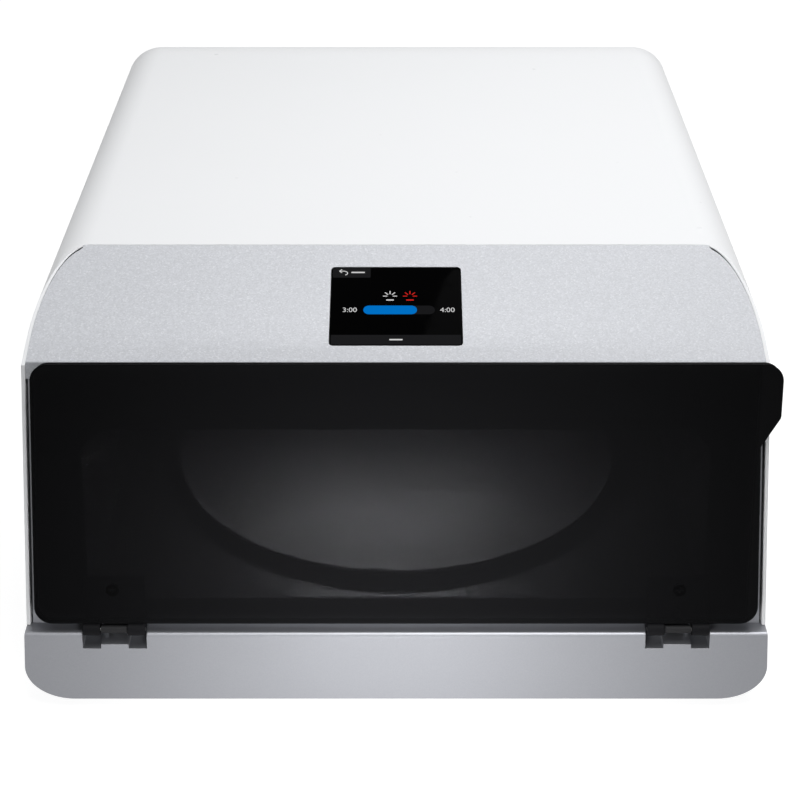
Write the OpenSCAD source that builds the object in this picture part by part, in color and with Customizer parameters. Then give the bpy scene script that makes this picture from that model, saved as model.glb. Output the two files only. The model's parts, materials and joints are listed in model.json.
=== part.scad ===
// Bench-top light curing unit for a dental laboratory: a reclined drop-down door over a lamp
// chamber with a turntable, a sloping console above it, and power and fans at the back.
// Frame: +X right, +Y to the back, +Z up, millimetres. The origin is under the middle of the
// unit, on the table. Inside the modules z starts at the underside of the base.

/* [Casing] */
// Width of the casing at the lower edge of the console
body_w = 400; // [380:5:440]
// Height of the lower edge of the console above the base underside
front_h = 188; // [184:1:196]
// Length of the sloping console, measured on its surface
console_len = 89; // [84:1:96]
// Length of the flat top, front to back
top_len = 350; // [340:1:380]
// Angle that the front leans back from upright
front_lean = 12; // [8:1:14]
// Slope of the console above level
console_slope = 20; // [18:1:24]
// Draft of the casing sides, each side
side_draft = 2.5; // [1:0.5:4]
// Radius of the long top corners of the casing
corner_r = 27; // [22:1:30]
// Thickness of the cover and tray walls
wall = 2; // [1.6:0.2:2.4]
// Thickness of the console panel sheet
panel_t = 2; // [1.4:0.2:2.4]
// Height of the bent-down return of the console panel
return_len = 9.5; // [7:0.5:12]
// Gap between panels that meet
panel_gap = 0.3; // [0.2:0.1:0.5]
// How far the casing rim stands in front of the front frame
rim_out = 2; // [1:0.5:2.5]

/* [Base] */
// Height of the base tray
base_h = 39; // [38:0.5:41]
// How far the base front stands out from the front frame
ledge_out = 10; // [9.5:0.5:12]
// Outer radius of the bend between ledge and base front
bend_r = 3; // [2.5:0.5:4]
// Width of the rounded bottom corners
foot_corner_w = 27; // [22:1:30]
// Height of the rounded bottom corners
foot_corner_h = 19; // [16:1:22]
// Height of the rubber feet
foot_h = 6; // [4:0.5:10]
// Diameter of the rubber feet
foot_d = 24; // [18:1:30]
// Width of a hinge pocket in the ledge
pocket_w = 35.6; // [35.4:0.2:37]
// Depth of a hinge pocket below the ledge
pocket_depth = 8.7; // [8:0.1:10]
// Rise of the middle of the pocket floor
pocket_rise = 2.4; // [2:0.1:3]

/* [Front frame] */
// Thickness of the front frame
frame_t = 3; // [2.5:0.5:4]
// Groove between the casing rim and the front frame
groove = 1; // [0.6:0.1:1.4]
// Distance of the chamber mouth from the casing side
mouth_in = 29; // [28:0.5:36]
// Lower edge of the chamber mouth, measured up the front
mouth_low = 55; // [53.5:0.5:58]
// Upper edge of the chamber mouth, measured up the front
mouth_high = 154; // [150:0.5:156]
// Width cut off each upper corner of the mouth
mouth_cut_w = 10; // [6:1:14]
// Height cut off each upper corner of the mouth
mouth_cut_h = 11.5; // [6:0.5:14]
// Distance between the two lintel screws
lintel_screw_gap = 147; // [120:1:170]
// Distance of the lintel screws above the mouth
lintel_screw_up = 11.8; // [10:0.2:13]
// How far the pair of lintel screws sits to the right of the middle
lintel_offset = 5; // [0:0.5:8]

/* [Door] */
// Thickness of the door panel
door_t = 5.5; // [4:0.5:6]
// Gap between the door and the front frame
door_gap = 3; // [3:0.1:3.6]
// Distance of the door edge inside the casing side
door_margin = 6.8; // [5:0.1:8]
// Gap between the hinge axis and the lower edge of the door
door_lift = 4.4; // [4.2:0.1:5]
// Radius of the door corners
door_corner_r = 8.5; // [6:0.5:10]
// How far the finger tab stands out from the casing side
tab_out = 5; // [4:0.5:8]
// Straight height of the finger tab
tab_len = 28.4; // [22:0.2:40]
// Height of the slanted underside of the finger tab
tab_slant = 16.4; // [10:0.2:24]

/* [Hinges] */
// Distance of each hinge from the casing side
hinge_in = 43.5; // [43:0.5:60]
// Width of a door leaf
leaf_w = 34.6; // [30:0.2:34.8]
// Height of a door leaf on the door
leaf_h = 25; // [23:0.5:28]
// Thickness of a door leaf
leaf_t = 2; // [1.6:0.1:2.2]
// Diameter of the knuckles
knuckle_d = 7; // [6.4:0.1:7.4]
// Diameter of the middle knuckle, which is on the bracket
bracket_knuckle_d = 4.2; // [3.9:0.1:4.6]
// Width of the middle knuckle
bracket_w = 14.6; // [10:0.2:15]
// Diameter of the hinge pins
pin_d = 2.2; // [1.8:0.1:2.6]
// Height of the hinge axis above the ledge
hinge_rise = 1.9; // [1.7:0.1:2.6]
// Running clearance of pins and shafts, on the radius
run_gap = 0.05; // [0.02:0.01:0.08]

/* [Chamber] */
// Height of the chamber floor above the base underside
floor_z = 50; // [49:0.5:52]
// Height of the chamber ceiling above the base underside
ceiling_z = 156; // [153:0.5:158]
// Depth of the chamber at its floor
chamber_depth = 290; // [288:1:300]
// Thickness of the chamber sheet
liner_t = 1.5; // [1:0.1:2]
// Width of the liner flange behind the front frame
flange_w = 14; // [12:0.5:16]
// Length of the top lamp window, front to back
top_lamp_len = 136; // [110:2:140]
// Width of the top lamp window
top_lamp_w = 156; // [120:2:180]
// Length of a side lamp window
side_lamp_len = 112; // [90:2:130]
// Height of a side lamp window
side_lamp_h = 46; // [36:1:50]
// Rim of the lamp frames round their windows
lamp_rim = 9; // [6:0.5:11]
// Thickness of the lamp frames
lamp_frame_t = 5.5; // [5:0.1:7]
// Thickness of the lamp windows
window_t = 2; // [1.5:0.1:2.5]
// Thickness of the circuit boards
board_t = 1.6; // [1:0.1:2]
// Thickness of a heat sink base
sink_base = 3; // [2:0.5:4]
// Height of the heat sink fins
fin_h = 8; // [6:0.5:9]

/* [Turntable] */
// Diameter of the turntable
plate_d = 270; // [200:2:274]
// Thickness of the turntable
plate_t = 2; // [1.5:0.1:3]
// Height of the turntable rim
plate_rim = 3; // [2:0.5:5]
// Height of the turntable underside above the chamber floor
plate_lift = 6; // [5:0.5:8]
// Distance of the turntable axis behind the front frame at the base underside
plate_y = 163; // [155:1:165]
// Diameter of the drive shaft
shaft_d = 6; // [5:0.5:8]
// Diameter of the gear motor
motor_d = 50; // [40:1:60]
// Height of the gear motor
motor_h = 22; // [18:1:30]

/* [Console] */
// Width of the display glass
glass_w = 72; // [68:1:90]
// Height of the display glass on the slope
glass_h = 59; // [54:1:62]
// Distance of the display glass from the lower edge of the console
glass_low = 12; // [10:0.5:16]
// Thickness of the display glass
glass_t = 1.8; // [1.2:0.1:1.9]
// Thickness of the display module
module_t = 5; // [4:0.5:6]

/* [Rear] */
// Depth of the rear panel inside the casing edge
rear_recess = 2; // [1.5:0.5:4]
// Size of the fan frames
fan_w = 80; // [60:10:90]
// Depth of the fan frames
fan_depth = 25; // [20:1:30]
// Distance of each fan from the casing side
fan_in = 105; // [95:1:120]
// Height of the fan axes above the base underside
fan_z = 122; // [110:1:130]
// Number of fan blades
blades = 7; // [5:1:9]
// Distance of the mains inlet from the casing side
inlet_in = 60; // [56:1:70]
// Distance between the mains inlet and the mains switch
switch_gap = 48; // [44:1:56]
// Height of the inlet and switch above the base underside
inlet_z = 34; // [30:0.5:40]
// Swing of the switch rocker from one end to the other
rocker_swing = 20; // [12:1:24]

/* [Hidden] */
$fn = 64;
arc_steps = 18;
clear = 0.1;
mouth_w = body_w - 2 * mouth_in;
hinge_x = body_w / 2 - hinge_in;
fan_x = body_w / 2 - fan_in;
inlet_x = body_w / 2 - inlet_in;
switch_x = inlet_x - switch_gap;
console_y = front_h * tan(front_lean);
console_u = front_h / cos(front_lean);
top_y = console_y + console_len * cos(console_slope);
body_h = front_h + console_len * sin(console_slope);
rear_y = top_y + top_len;
rocker_axis_in = 6;
rear_reach = 2.8;
front_reach = ledge_out / cos(front_lean);
mid_y = (rear_y + rear_reach - front_reach) / 2;
corner_z = body_h - corner_r;
corner_x = body_w / 2 + (front_h - corner_z) * tan(side_draft) - corner_r / cos(side_draft);
rim_t = 0.6;
notch_end = 80;
return_u = console_u - return_len;
frame_top_u = return_u - panel_gap;
hinge_z = base_h + hinge_rise;
hinge_n = door_gap + door_t;
hinge_u = (hinge_z - hinge_n * sin(front_lean)) / cos(front_lean);
hinge_y = hinge_u * sin(front_lean) - hinge_n * cos(front_lean);
door_low = hinge_u + door_lift;
door_high = console_u;
leaf_n = door_gap - leaf_t;
knuckle_inner = bracket_w / 2 + 0.3;
web_t = 3;
leaf_gap = 0.3;
pocket_z = base_h - pocket_depth;
pocket_mid_z = pocket_z + pocket_rise;
pocket_back = plane_y(-frame_t + 0.5, base_h);
ledge_back = plane_y(-frame_t - 6, base_h);
tub_t = 1.5;
lip_t = 1.6;
lip_h = 13;
liner_n = frame_t + clear;
chamber_back = plane_y(-frame_t, floor_z) + chamber_depth;
chamber_half = mouth_w / 2;
shell_x = chamber_half + liner_t;
lamp_y = plate_y - 4;
side_lamp_z = (floor_z + ceiling_z) / 2 - 3;
emitter_t = 1.5;
window_lap = 3;
emitter_w = 3.6;
bush_d = 12;
bush_flange_d = 18;
bush_flange_t = 1.5;
plate_z = floor_z + plate_lift;
hub_d = 40;
hub_z = floor_z + bush_flange_t + 0.5;
motor_plate_t = 2;
motor_top = floor_z - liner_t - motor_plate_t;
shaft_low = motor_top - motor_h + 6;
leg_d = 10;
m3 = 3;
m4 = 4;
lintel_u = mouth_high + lintel_screw_up;
leaf_screw_u = door_low + 19;
magnet_d = 4;
magnet_u = door_low + 3;
rear_flange_w = 12;
rear_flange_t = 1.6;
panel_out_y = rear_y - rear_recess;
rear_sheet = 2;
rear_vents = 12;
rear_vent_len = 26;
screw_grip = 3;
panel_in_y = panel_out_y - rear_sheet;
fan_bore_d = fan_w - 4;
fan_hub_d = fan_w * 0.42;
fan_hole = fan_w / 2 - 4.25;
fan_shaft_d = 3;
inlet_w = 47;
inlet_h = 26;
inlet_depth = 24;
socket_depth = 18;
pin_t = 2;
pin_w = 4.6;
bezel = 1.5;
bezel_t = 1.7;
switch_w = 22;
switch_h = 27;
switch_depth = 18;
rocker_w = 18;
rocker_r = 11.7;
supply = [150, 90, 40];
supply_in = 100;
supply_x = supply_in - body_w / 2;
supply_screw_in = 15;
supply_screw_side = 28;
supply_cover_t = 1.2;
supply_terminals = 14;
vent_d = 6;
vent_pitch = 12;
supply_gap = 22;
supply_y = chamber_back + supply_gap;
board_w = 130;
board_len = 105;
board_in = 95;
board_x = body_w / 2 - board_in;
board_screw_in = 5;
standoff_d = 6;
capacitor_d = 12;
capacitor_h = 16;
socket_size = [14, 10, 8];
chip_t = 2;
standoff_h = 9;
board_z = wall + standoff_h;
board_gap = 66;
board_y = chamber_back + board_gap;
foot_in = 48;
foot_x = body_w / 2 - foot_in;
slot_w = 4;
slot_pitch = 12;
slots = 8;
slot_len = 60;
back_slot_len = 34;
back_slots = 7;
foot_front_y = 42;
foot_rear_in = 40;
foot_rear_y = rear_y - foot_rear_in;
cover_screw_front = 70;
cover_screw_back = 50;
cover_screw_up = 7;
cover_screw_y = [cover_screw_front, rear_y / 2, rear_y - cover_screw_back];
cover_screw_z = base_h + cover_screw_up;

// Y of the plane that lies n in front of the front frame's face, at height z
function plane_y(n, z) = z * tan(front_lean) - n / cos(front_lean);

// [y, z] of the point n in front of the frame's face and u up the front
function front_pt(n, u) = [
  u * sin(front_lean) - n * cos(front_lean),
  u * cos(front_lean) + n * sin(front_lean)
];

// Half width of the casing at height z, and the same inside an inset wall
function half_w(z) = body_w / 2 + (front_h - z) * tan(side_draft);
function side_x(z, inset) = half_w(z) - inset / cos(side_draft);

function mirrored(pts) = [for (i = [len(pts) - 1:-1:0]) [-pts[i][0], pts[i][1]]];
function both_sides(right) = concat(right, mirrored(right));

// Rounded top corner of the casing, drawn from the side to the end angle. It leaves the wall's
// inner face at inset_x and has inset_z from its fourth point on
function top_arc(inset_x, inset_z, end = 90) = [
  for (i = [0:arc_steps])
    let(
      a = side_draft + (end - side_draft) * i / arc_steps,
      inset = inset_x + (inset_z - inset_x) * min(1, i / 3)
    )
    [corner_x + (corner_r - inset_x) * cos(a), corner_z + (corner_r - inset) * sin(a)]
];

// Rounded bottom corner of the base, drawn from the underside to the side
function bottom_arc(inset) = [
  for (i = [0:arc_steps])
    let(a = -90 + 90 * i / arc_steps)
    [side_x(foot_corner_h, 0) - foot_corner_w + (foot_corner_w - inset) * cos(a),
     foot_corner_h + (foot_corner_h - inset) * sin(a)]
];

// Cross-sections of the casing, square to Y
function upper_section(inset, low) =
  both_sides(concat([[side_x(low, inset), low]], top_arc(inset, inset)));
function lower_section(inset, high) =
  both_sides(concat(bottom_arc(inset), [[side_x(high, inset), high]]));
function full_section(inset) = both_sides(concat(bottom_arc(inset), top_arc(inset, inset)));
function side_walls(inset, low, high) =
  both_sides([[side_x(low, inset), low], [side_x(high, inset), high]]);

// Outline of the console panel seen from the front, with a gap to the cover round it
function console_section(gap) =
  let(arc = top_arc(wall + gap, rim_t + gap, notch_end), end = arc[arc_steps])
  both_sides(concat(
    [[side_x(front_h / 2, wall + gap), front_h / 2]],
    arc,
    [[end[0] - 0.5 - gap, body_h + 1]]
  ));

// Points of a polygon with its corners rounded by the radii given
function fillet(pts, radii, steps = 8) = [
  for (i = [0:len(pts) - 1])
    let(n = len(pts), r = radii[i])
    each (r == 0 ? [pts[i]] : corner_arc(pts[(i + n - 1) % n], pts[i], pts[(i + 1) % n], r, steps))
];
function unit(v) = v / norm(v);
function corner_arc(a, p, b, r, steps) =
  let(
    u = unit(a - p),
    v = unit(b - p),
    half = acos(u * v) / 2,
    c = p + unit(u + v) * r / sin(half),
    first = p + u * r / tan(half) - c,
    last = p + v * r / tan(half) - c,
    a0 = atan2(first[1], first[0]),
    turn = (atan2(last[1], last[0]) - a0 + 540) % 360 - 180
  )
  [for (i = [0:steps]) c + r * [cos(a0 + turn * i / steps), sin(a0 + turn * i / steps)]];

module in_body() translate([0, -mid_y, foot_h]) children();
module on_front() in_body() rotate([-front_lean, 0, 0]) children();
module on_console() in_body() translate([0, console_y, front_h]) rotate([console_slope, 0, 0])
  children();

// Plates cut from a flat outline: square to Y, square to X, and parallel to the front
module along_y(y0, y1) translate([0, y1, 0]) rotate([90, 0, 0]) linear_extrude(y1 - y0) children();
module along_x(x0, x1) translate([x0, 0, 0]) rotate([90, 0, 90]) linear_extrude(x1 - x0) children();
module front_slab(n0, n1) translate([0, -n0, 0]) rotate([90, 0, 0]) linear_extrude(n1 - n0)
  children();

// Box from its lowest and highest corners
module block(low, high) translate(low) cube(high - low);

// Rods along X, Y and outward from the front
module rod_x(x0, x1, y, z, d) translate([x0, y, z]) rotate([0, 90, 0]) cylinder(h = x1 - x0, d = d);
module rod_y(y0, y1, x, z, d) translate([x, y1, z]) rotate([90, 0, 0]) cylinder(h = y1 - y0, d = d);

module pair_x(x) {
  for (side = [-1, 1]) translate([side * x, 0, 0]) children();
}

// Pan-head screw pointing down from z = 0, with a cross recess in its head
module pan_screw(d, length) {
  head = d * 0.55;
  difference() {
    union() {
      cylinder(h = head * 0.6, d = d * 2);
      translate([0, 0, head * 0.6]) cylinder(h = head * 0.4, d1 = d * 2, d2 = d * 1.5);
      translate([0, 0, -length]) cylinder(h = length + head * 0.3, d = d);
    }
    for (a = [0, 90]) rotate([0, 0, a]) translate([-d * 0.55, -d * 0.09, head * 0.5])
      cube([d * 1.1, d * 0.18, head]);
  }
}

// Countersunk screw pointing down from z = 0, its head flush
module flat_screw(d, length) {
  difference() {
    union() {
      translate([0, 0, -d * 0.45]) cylinder(h = d * 0.45, d1 = d, d2 = d * 1.8);
      translate([0, 0, -length]) cylinder(h = length - d * 0.4, d = d);
    }
    for (a = [0, 90]) rotate([0, 0, a]) translate([-d * 0.5, -d * 0.1, -d * 0.25])
      cube([d, d * 0.2, d]);
  }
}
module flat_screw_hole(d, length) {
  translate([0, 0, -d * 0.45]) cylinder(h = d * 0.45 + 0.02, d1 = d + 2 * clear, d2 = d * 1.8 + 2 * clear);
  translate([0, 0, -length - 0.3]) cylinder(h = length + 0.3, d = d + 2 * clear);
}

// CASING

module cover_side() {
  edge = (console_y - rim_out * cos(console_slope) / cos(console_slope + front_lean));
  polygon([
    [plane_y(rim_out, base_h), base_h],
    [edge, front_h - rim_out * sin(console_slope) / cos(console_slope + front_lean)],
    [top_y, body_h],
    [rear_y, body_h],
    [rear_y, base_h]
  ]);
}

module cover_screw_places() {
  for (side = [-1, 1], y = cover_screw_y)
    translate([side * side_x(cover_screw_z, 0), y, cover_screw_z])
      rotate([0, side * (90 - side_draft), 0]) children();
}

module upper_cover() in_body() color("white") {
  difference() {
    intersection() {
      along_y(-ledge_out * 2, rear_y) polygon(upper_section(0, base_h + panel_gap));
      along_x(-body_w, body_w) cover_side();
    }
    along_y(-ledge_out * 3, rear_y + 1) polygon(upper_section(wall, base_h - 1));
    along_y(-ledge_out * 3, top_y) polygon(console_section(0));
    cover_screw_places() translate([0, 0, -wall * 2]) cylinder(h = wall * 3, d = m3 + 2 * clear);
  }
  difference() {
    along_y(panel_in_y - rear_flange_t, panel_in_y)
      polygon(upper_section(wall - 0.2, base_h + panel_gap));
    along_y(panel_in_y - 3, rear_y) polygon(upper_section(wall + rear_flange_w, base_h - 1));
    rear_screw_places() translate([0, 0, -8]) cylinder(h = 16, d = m3 + 2 * clear);
  }
}

module console_side() {
  end_y = top_y - panel_gap;
  end_z = front_h + (end_y - console_y) * tan(console_slope);
  inner_z = (front_h - panel_t * cos(console_slope)
    + (panel_t / cos(front_lean) - console_y - panel_t * sin(console_slope)) * tan(console_slope))
    / (1 - tan(front_lean) * tan(console_slope));
  polygon([
    front_pt(0, return_u),
    [console_y, front_h],
    [end_y, end_z],
    [end_y, end_z - panel_t / cos(console_slope)],
    [plane_y(-panel_t, inner_z), inner_z],
    front_pt(-panel_t, return_u)
  ]);
}

module console_panel() color("gainsboro") difference() {
  in_body() intersection() {
    along_x(-body_w, body_w) console_side();
    along_y(-ledge_out, rear_y) polygon(console_section(panel_gap));
  }
  on_console() translate([0, 0, -panel_t * 2]) linear_extrude(panel_t * 3)
    glass_outline(panel_gap);
}

module glass_outline(grow) translate([0, glass_low])
  polygon(fillet([
    [-glass_w / 2 - grow, -grow],
    [glass_w / 2 + grow, -grow],
    [glass_w / 2 + grow, glass_h + grow],
    [-glass_w / 2 - grow, glass_h + grow]
  ], [2, 2, 2, 2]));

module display_glass() on_console() color("black") translate([0, 0, -glass_t])
  linear_extrude(glass_t) glass_outline(0);

display_flange = 3;
display_top = -panel_t - clear;
module display_module() on_console() color("dimgray") {
  block([-glass_w / 2 - display_flange, glass_low - display_flange, display_top - module_t],
    [glass_w / 2 + display_flange, glass_low + glass_h + display_flange, display_top]);
  block([-glass_w / 2 + 1, glass_low + 1, display_top - 1],
    [glass_w / 2 - 1, glass_low + glass_h - 1, -glass_t]);
}

stud_d = 5;
stud_x = glass_w / 2 + display_flange + 5;
stud_len = module_t + 3;
module stud_places() {
  for (side = [-1, 1], y = [glass_low + 4, glass_low + glass_h - 4])
    translate([side * stud_x, y, 0]) children();
}
module display_studs() on_console() color("silver") stud_places()
  translate([0, 0, -panel_t - stud_len]) cylinder(h = stud_len, d = stud_d);

module display_board() on_console() color("darkgreen") {
  low = -panel_t - stud_len - board_t;
  block([-stud_x - 5, glass_low, low], [stud_x + 5, glass_low + glass_h, low + board_t]);
}

// FRONT FRAME

module mouth_outline() {
  polygon([
    [-chamber_half, mouth_low],
    [chamber_half, mouth_low],
    [chamber_half, mouth_high - mouth_cut_h],
    [chamber_half - mouth_cut_w, mouth_high],
    [-chamber_half + mouth_cut_w, mouth_high],
    [-chamber_half, mouth_high - mouth_cut_h]
  ]);
}

module lintel_places() {
  translate([lintel_offset, 0, lintel_u]) pair_x(lintel_screw_gap / 2) rotate([90, 0, 0]) children();
}

module front_frame() color("silver") difference() {
  in_body() intersection() {
    along_x(-body_w, body_w) polygon([
      [plane_y(0, base_h), base_h],
      front_pt(0, frame_top_u),
      front_pt(-frame_t, frame_top_u),
      [plane_y(-frame_t, base_h), base_h]
    ]);
    along_y(-ledge_out, rear_y) polygon(side_walls(wall + groove, 0, front_h));
  }
  on_front() front_slab(-frame_t * 2, frame_t) mouth_outline();
  on_front() lintel_places() translate([0, 0, -frame_t * 2]) cylinder(h = frame_t * 3, d = m4 + 2 * clear);
}

module lintel_screws() on_front() color("gray") lintel_places() pan_screw(m4, frame_t + 5);

// DOOR

function door_half(u) = half_w(u * cos(front_lean)) - door_margin;

module door_outline() {
  tab_x = body_w / 2 + tab_out;
  tab_low = door_high - tab_len;
  polygon(fillet([
    [-door_half(door_low), door_low],
    [door_half(door_low), door_low],
    [door_half(tab_low - tab_slant), tab_low - tab_slant],
    [tab_x, tab_low],
    [tab_x, door_high],
    [-door_half(door_high), door_high]
  ], [door_corner_r, door_corner_r, 2, 4, door_corner_r, door_corner_r]));
}

module door_panel() on_front() color([0.1, 0.1, 0.11, 0.6]) difference() {
  front_slab(door_gap, door_gap + door_t) door_outline();
  leaf_screw_places() flat_screw_hole(m4, door_t + leaf_t);
}

module leaf_screw_places() {
  pair_x(hinge_x) translate([0, -door_gap - door_t, leaf_screw_u]) rotate([90, 0, 0]) children();
}

module leaf_screws() on_front() color([0.08, 0.08, 0.08]) leaf_screw_places()
  flat_screw(m4, door_t + leaf_t - 0.4);

module knuckles() {
  for (side = [-1, 1]) {
    x0 = side > 0 ? knuckle_inner : -leaf_w / 2;
    x1 = side > 0 ? leaf_w / 2 : -knuckle_inner;
    block([x0, -hinge_n, hinge_u - web_t / 2], [x1, -leaf_n, hinge_u + web_t / 2]);
    block([x0, -leaf_n - leaf_t, hinge_u - web_t / 2], [x1, -leaf_n, door_low + 2]);
    rod_x(x0, x1, -hinge_n, hinge_u, knuckle_d);
  }
}

module door_leaf(side) on_front() color([0.08, 0.08, 0.08]) difference() {
  translate([side * hinge_x, 0, 0]) difference() {
    union() {
      block([-leaf_w / 2, -leaf_n - leaf_t, door_low + leaf_gap],
        [leaf_w / 2, -leaf_n, door_low + leaf_h]);
      knuckles();
    }
    rod_x(-leaf_w, leaf_w, -hinge_n, hinge_u, pin_d + 2 * run_gap);
  }
  leaf_screw_places() flat_screw_hole(m4, door_t + leaf_t);
  magnet_place() cylinder(h = leaf_t * 3, d = magnet_d + 2 * clear, center = true);
}
module left_door_leaf() door_leaf(-1);
module right_door_leaf() door_leaf(1);

module magnet_place() translate([hinge_x, -leaf_n - leaf_t / 2, magnet_u]) rotate([90, 0, 0])
  children();

module sensor_magnet() on_front() color("silver") magnet_place()
  cylinder(h = leaf_t - 0.2, d = magnet_d, center = true);

sensor_w = 14;
sensor_depth = 5;
sensor_z = base_h + 4.7;
sensor_h = 7;
module door_sensor() in_body() color("black") intersection() {
  along_x(hinge_x - sensor_w / 2, hinge_x + sensor_w / 2) polygon([
    [plane_y(-frame_t - clear, base_h), base_h + clear],
    [plane_y(-frame_t - clear, sensor_z + sensor_h / 2), sensor_z + sensor_h / 2],
    [plane_y(-frame_t - sensor_depth, sensor_z + sensor_h / 2), sensor_z + sensor_h / 2],
    [plane_y(-frame_t - sensor_depth, base_h), base_h + clear]
  ]);
}

// HINGES ON THE BASE

bracket_t = 2;
bracket_gap = 0.3;
bracket_screw_d = 2;
bracket_screw_len = bracket_t + tub_t + 1;
bracket_front = pocket_back - bracket_t;
bracket_top_z = base_h - bracket_gap;
bracket_screw_z = pocket_mid_z + 2 * bracket_gap + bracket_screw_d * 0.9;
bracket_arm_z = bracket_screw_z + bracket_screw_d * 0.9 + 0.1;
module hinge_bracket(side) in_body() color([0.08, 0.08, 0.08]) difference() {
  translate([side * hinge_x, 0, 0]) union() {
    along_x(-bracket_w / 2, bracket_w / 2) polygon([
      [hinge_y, hinge_z - bracket_knuckle_d / 2],
      [bracket_front, bracket_arm_z],
      [bracket_front, pocket_mid_z + bracket_gap],
      [pocket_back, pocket_mid_z + bracket_gap],
      [pocket_back, bracket_top_z],
      [bracket_front, bracket_top_z],
      [hinge_y, hinge_z + bracket_knuckle_d / 2 - 1]
    ]);
    rod_x(-bracket_w / 2, bracket_w / 2, hinge_y, hinge_z, bracket_knuckle_d);
  }
  rod_x(-body_w, body_w, hinge_y, hinge_z, pin_d + 2 * run_gap);
  bracket_screw_places() flat_screw_hole(bracket_screw_d, bracket_screw_len);
}
module left_hinge_bracket() hinge_bracket(-1);
module right_hinge_bracket() hinge_bracket(1);

module bracket_screw_places() {
  for (side = [-1, 1], place = [-1, 1])
    translate([side * hinge_x + place * bracket_w / 4, bracket_front, bracket_screw_z])
      rotate([90, 0, 0]) children();
}
module bracket_screws() in_body() color("gray") bracket_screw_places()
  flat_screw(bracket_screw_d, bracket_screw_len);

module hinge_pins() on_front() color("silver") pair_x(hinge_x)
  rod_x(-leaf_w / 2, leaf_w / 2, -hinge_n, hinge_u, pin_d);

// BASE

module base_side() polygon(fillet([
  [plane_y(ledge_out, 0), 0],
  [rear_y, 0],
  [rear_y, base_h],
  [plane_y(ledge_out, base_h), base_h]
], [0, 0, 0, bend_r]));

module front_sheet() polygon(fillet([
  [plane_y(ledge_out, 0), 0],
  [plane_y(ledge_out - wall, 0), 0],
  [plane_y(ledge_out - wall, base_h - wall), base_h - wall],
  [ledge_back, base_h - wall],
  [ledge_back, base_h],
  [plane_y(ledge_out, base_h), base_h]
], [0, 0, bend_r / 3, 0, 0, bend_r]));

module pocket_cut() {
  front = plane_y(ledge_out, 0) - 5;
  for (side = [-1, 1]) {
    x0 = side > 0 ? bracket_w / 2 + 0.4 : -pocket_w / 2;
    x1 = side > 0 ? pocket_w / 2 : -bracket_w / 2 - 0.4;
    block([x0, front, pocket_z], [x1, pocket_back, base_h + 1]);
  }
  block([-pocket_w / 2, front, pocket_mid_z], [pocket_w / 2, pocket_back, base_h + 1]);
}

module foot_places() {
  for (side = [-1, 1], y = [foot_front_y, foot_rear_y]) translate([side * foot_x, y, 0]) children();
}

module floor_slots() {
  for (side = [-1, 1], i = [0:slots - 1])
    translate([side * body_w / 4, plate_y + (i - (slots - 1) / 2) * slot_pitch, 0])
      cube([slot_len, slot_w, wall * 3], center = true);
}

module base_tray() in_body() color("darkgray") {
  difference() {
    union() {
      difference() {
        intersection() {
          along_y(-ledge_out * 2, rear_y) polygon(lower_section(0, base_h));
          along_x(-body_w, body_w) base_side();
        }
        along_y(-ledge_out * 3, rear_y + 1) polygon(lower_section(wall, base_h + 1));
      }
      intersection() {
        along_y(-ledge_out * 3, ledge_back + 1) polygon(lower_section(0, base_h));
        along_x(-body_w, body_w) front_sheet();
      }
      intersection() {
        pair_x(hinge_x) block([-pocket_w / 2 - tub_t, -ledge_out * 2, pocket_z - tub_t],
          [pocket_w / 2 + tub_t, pocket_back + tub_t, base_h - wall / 2]);
        along_x(-body_w, body_w) base_side();
      }
      side_lips();
    }
    pair_x(hinge_x) pocket_cut();
    bracket_screw_places() flat_screw_hole(bracket_screw_d, bracket_screw_len);
    floor_slots();
    foot_places() translate([0, 0, -1]) cylinder(h = wall + 2, d = m4 + 2 * clear);
    leg_screw_places() flat_screw_hole(m4, wall + 1);
    supply_screw_places() flat_screw_hole(m3, wall + 1);
    cover_screw_places() translate([0, 0, -wall * 4]) cylinder(h = wall * 5, d = m3 + 2 * clear);
  }
  difference() {
    along_y(panel_in_y - rear_flange_t, panel_in_y) polygon(lower_section(wall - 0.2, base_h));
    along_y(panel_in_y - 3, rear_y) polygon(lower_section(wall + rear_flange_w, base_h + 1));
    rear_screw_places() translate([0, 0, -8]) cylinder(h = 16, d = m3 + 2 * clear);
  }
}

// Upright lips inside the tray sides, which the cover is screwed to
module side_lips() {
  inner = wall + 0.2 + lip_t;
  difference() {
    along_y(50, panel_in_y - rear_flange_t - 2)
      polygon(side_walls(wall + 0.2, base_h - 10, base_h + lip_h));
    along_y(40, rear_y) polygon(side_walls(inner, base_h - 20, base_h + lip_h + 10));
  }
  difference() {
    along_y(50, panel_in_y - rear_flange_t - 2)
      polygon(side_walls(wall - 0.2, base_h - 10, base_h - 4));
    along_y(40, rear_y) polygon(side_walls(inner, base_h - 20, base_h + lip_h + 10));
  }
}

module cover_screws() in_body() color("gray") cover_screw_places()
  pan_screw(m3, wall + lip_t + screw_grip);

module rubber_feet() in_body() color([0.12, 0.12, 0.12]) foot_places() difference() {
  translate([0, 0, -foot_h]) union() {
    cylinder(h = foot_h, d1 = foot_d - 2, d2 = foot_d);
  }
  translate([0, 0, -foot_h - 1]) cylinder(h = 1 + foot_h / 2, d = m4 * 2 + 1);
  translate([0, 0, -foot_h]) cylinder(h = foot_h + 1, d = m4 + 2 * clear);
}

module foot_screws() in_body() color("gray") foot_places() translate([0, 0, -foot_h / 2])
  rotate([180, 0, 0]) pan_screw(m4, foot_h / 2 + wall + 4);

// CHAMBER

module chamber_block(side, low, high, front_n, back_y) {
  along_x(-side, side) polygon([
    [plane_y(front_n, low), low],
    [back_y, low],
    [back_y, high],
    [plane_y(front_n, high), high]
  ]);
}

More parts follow.
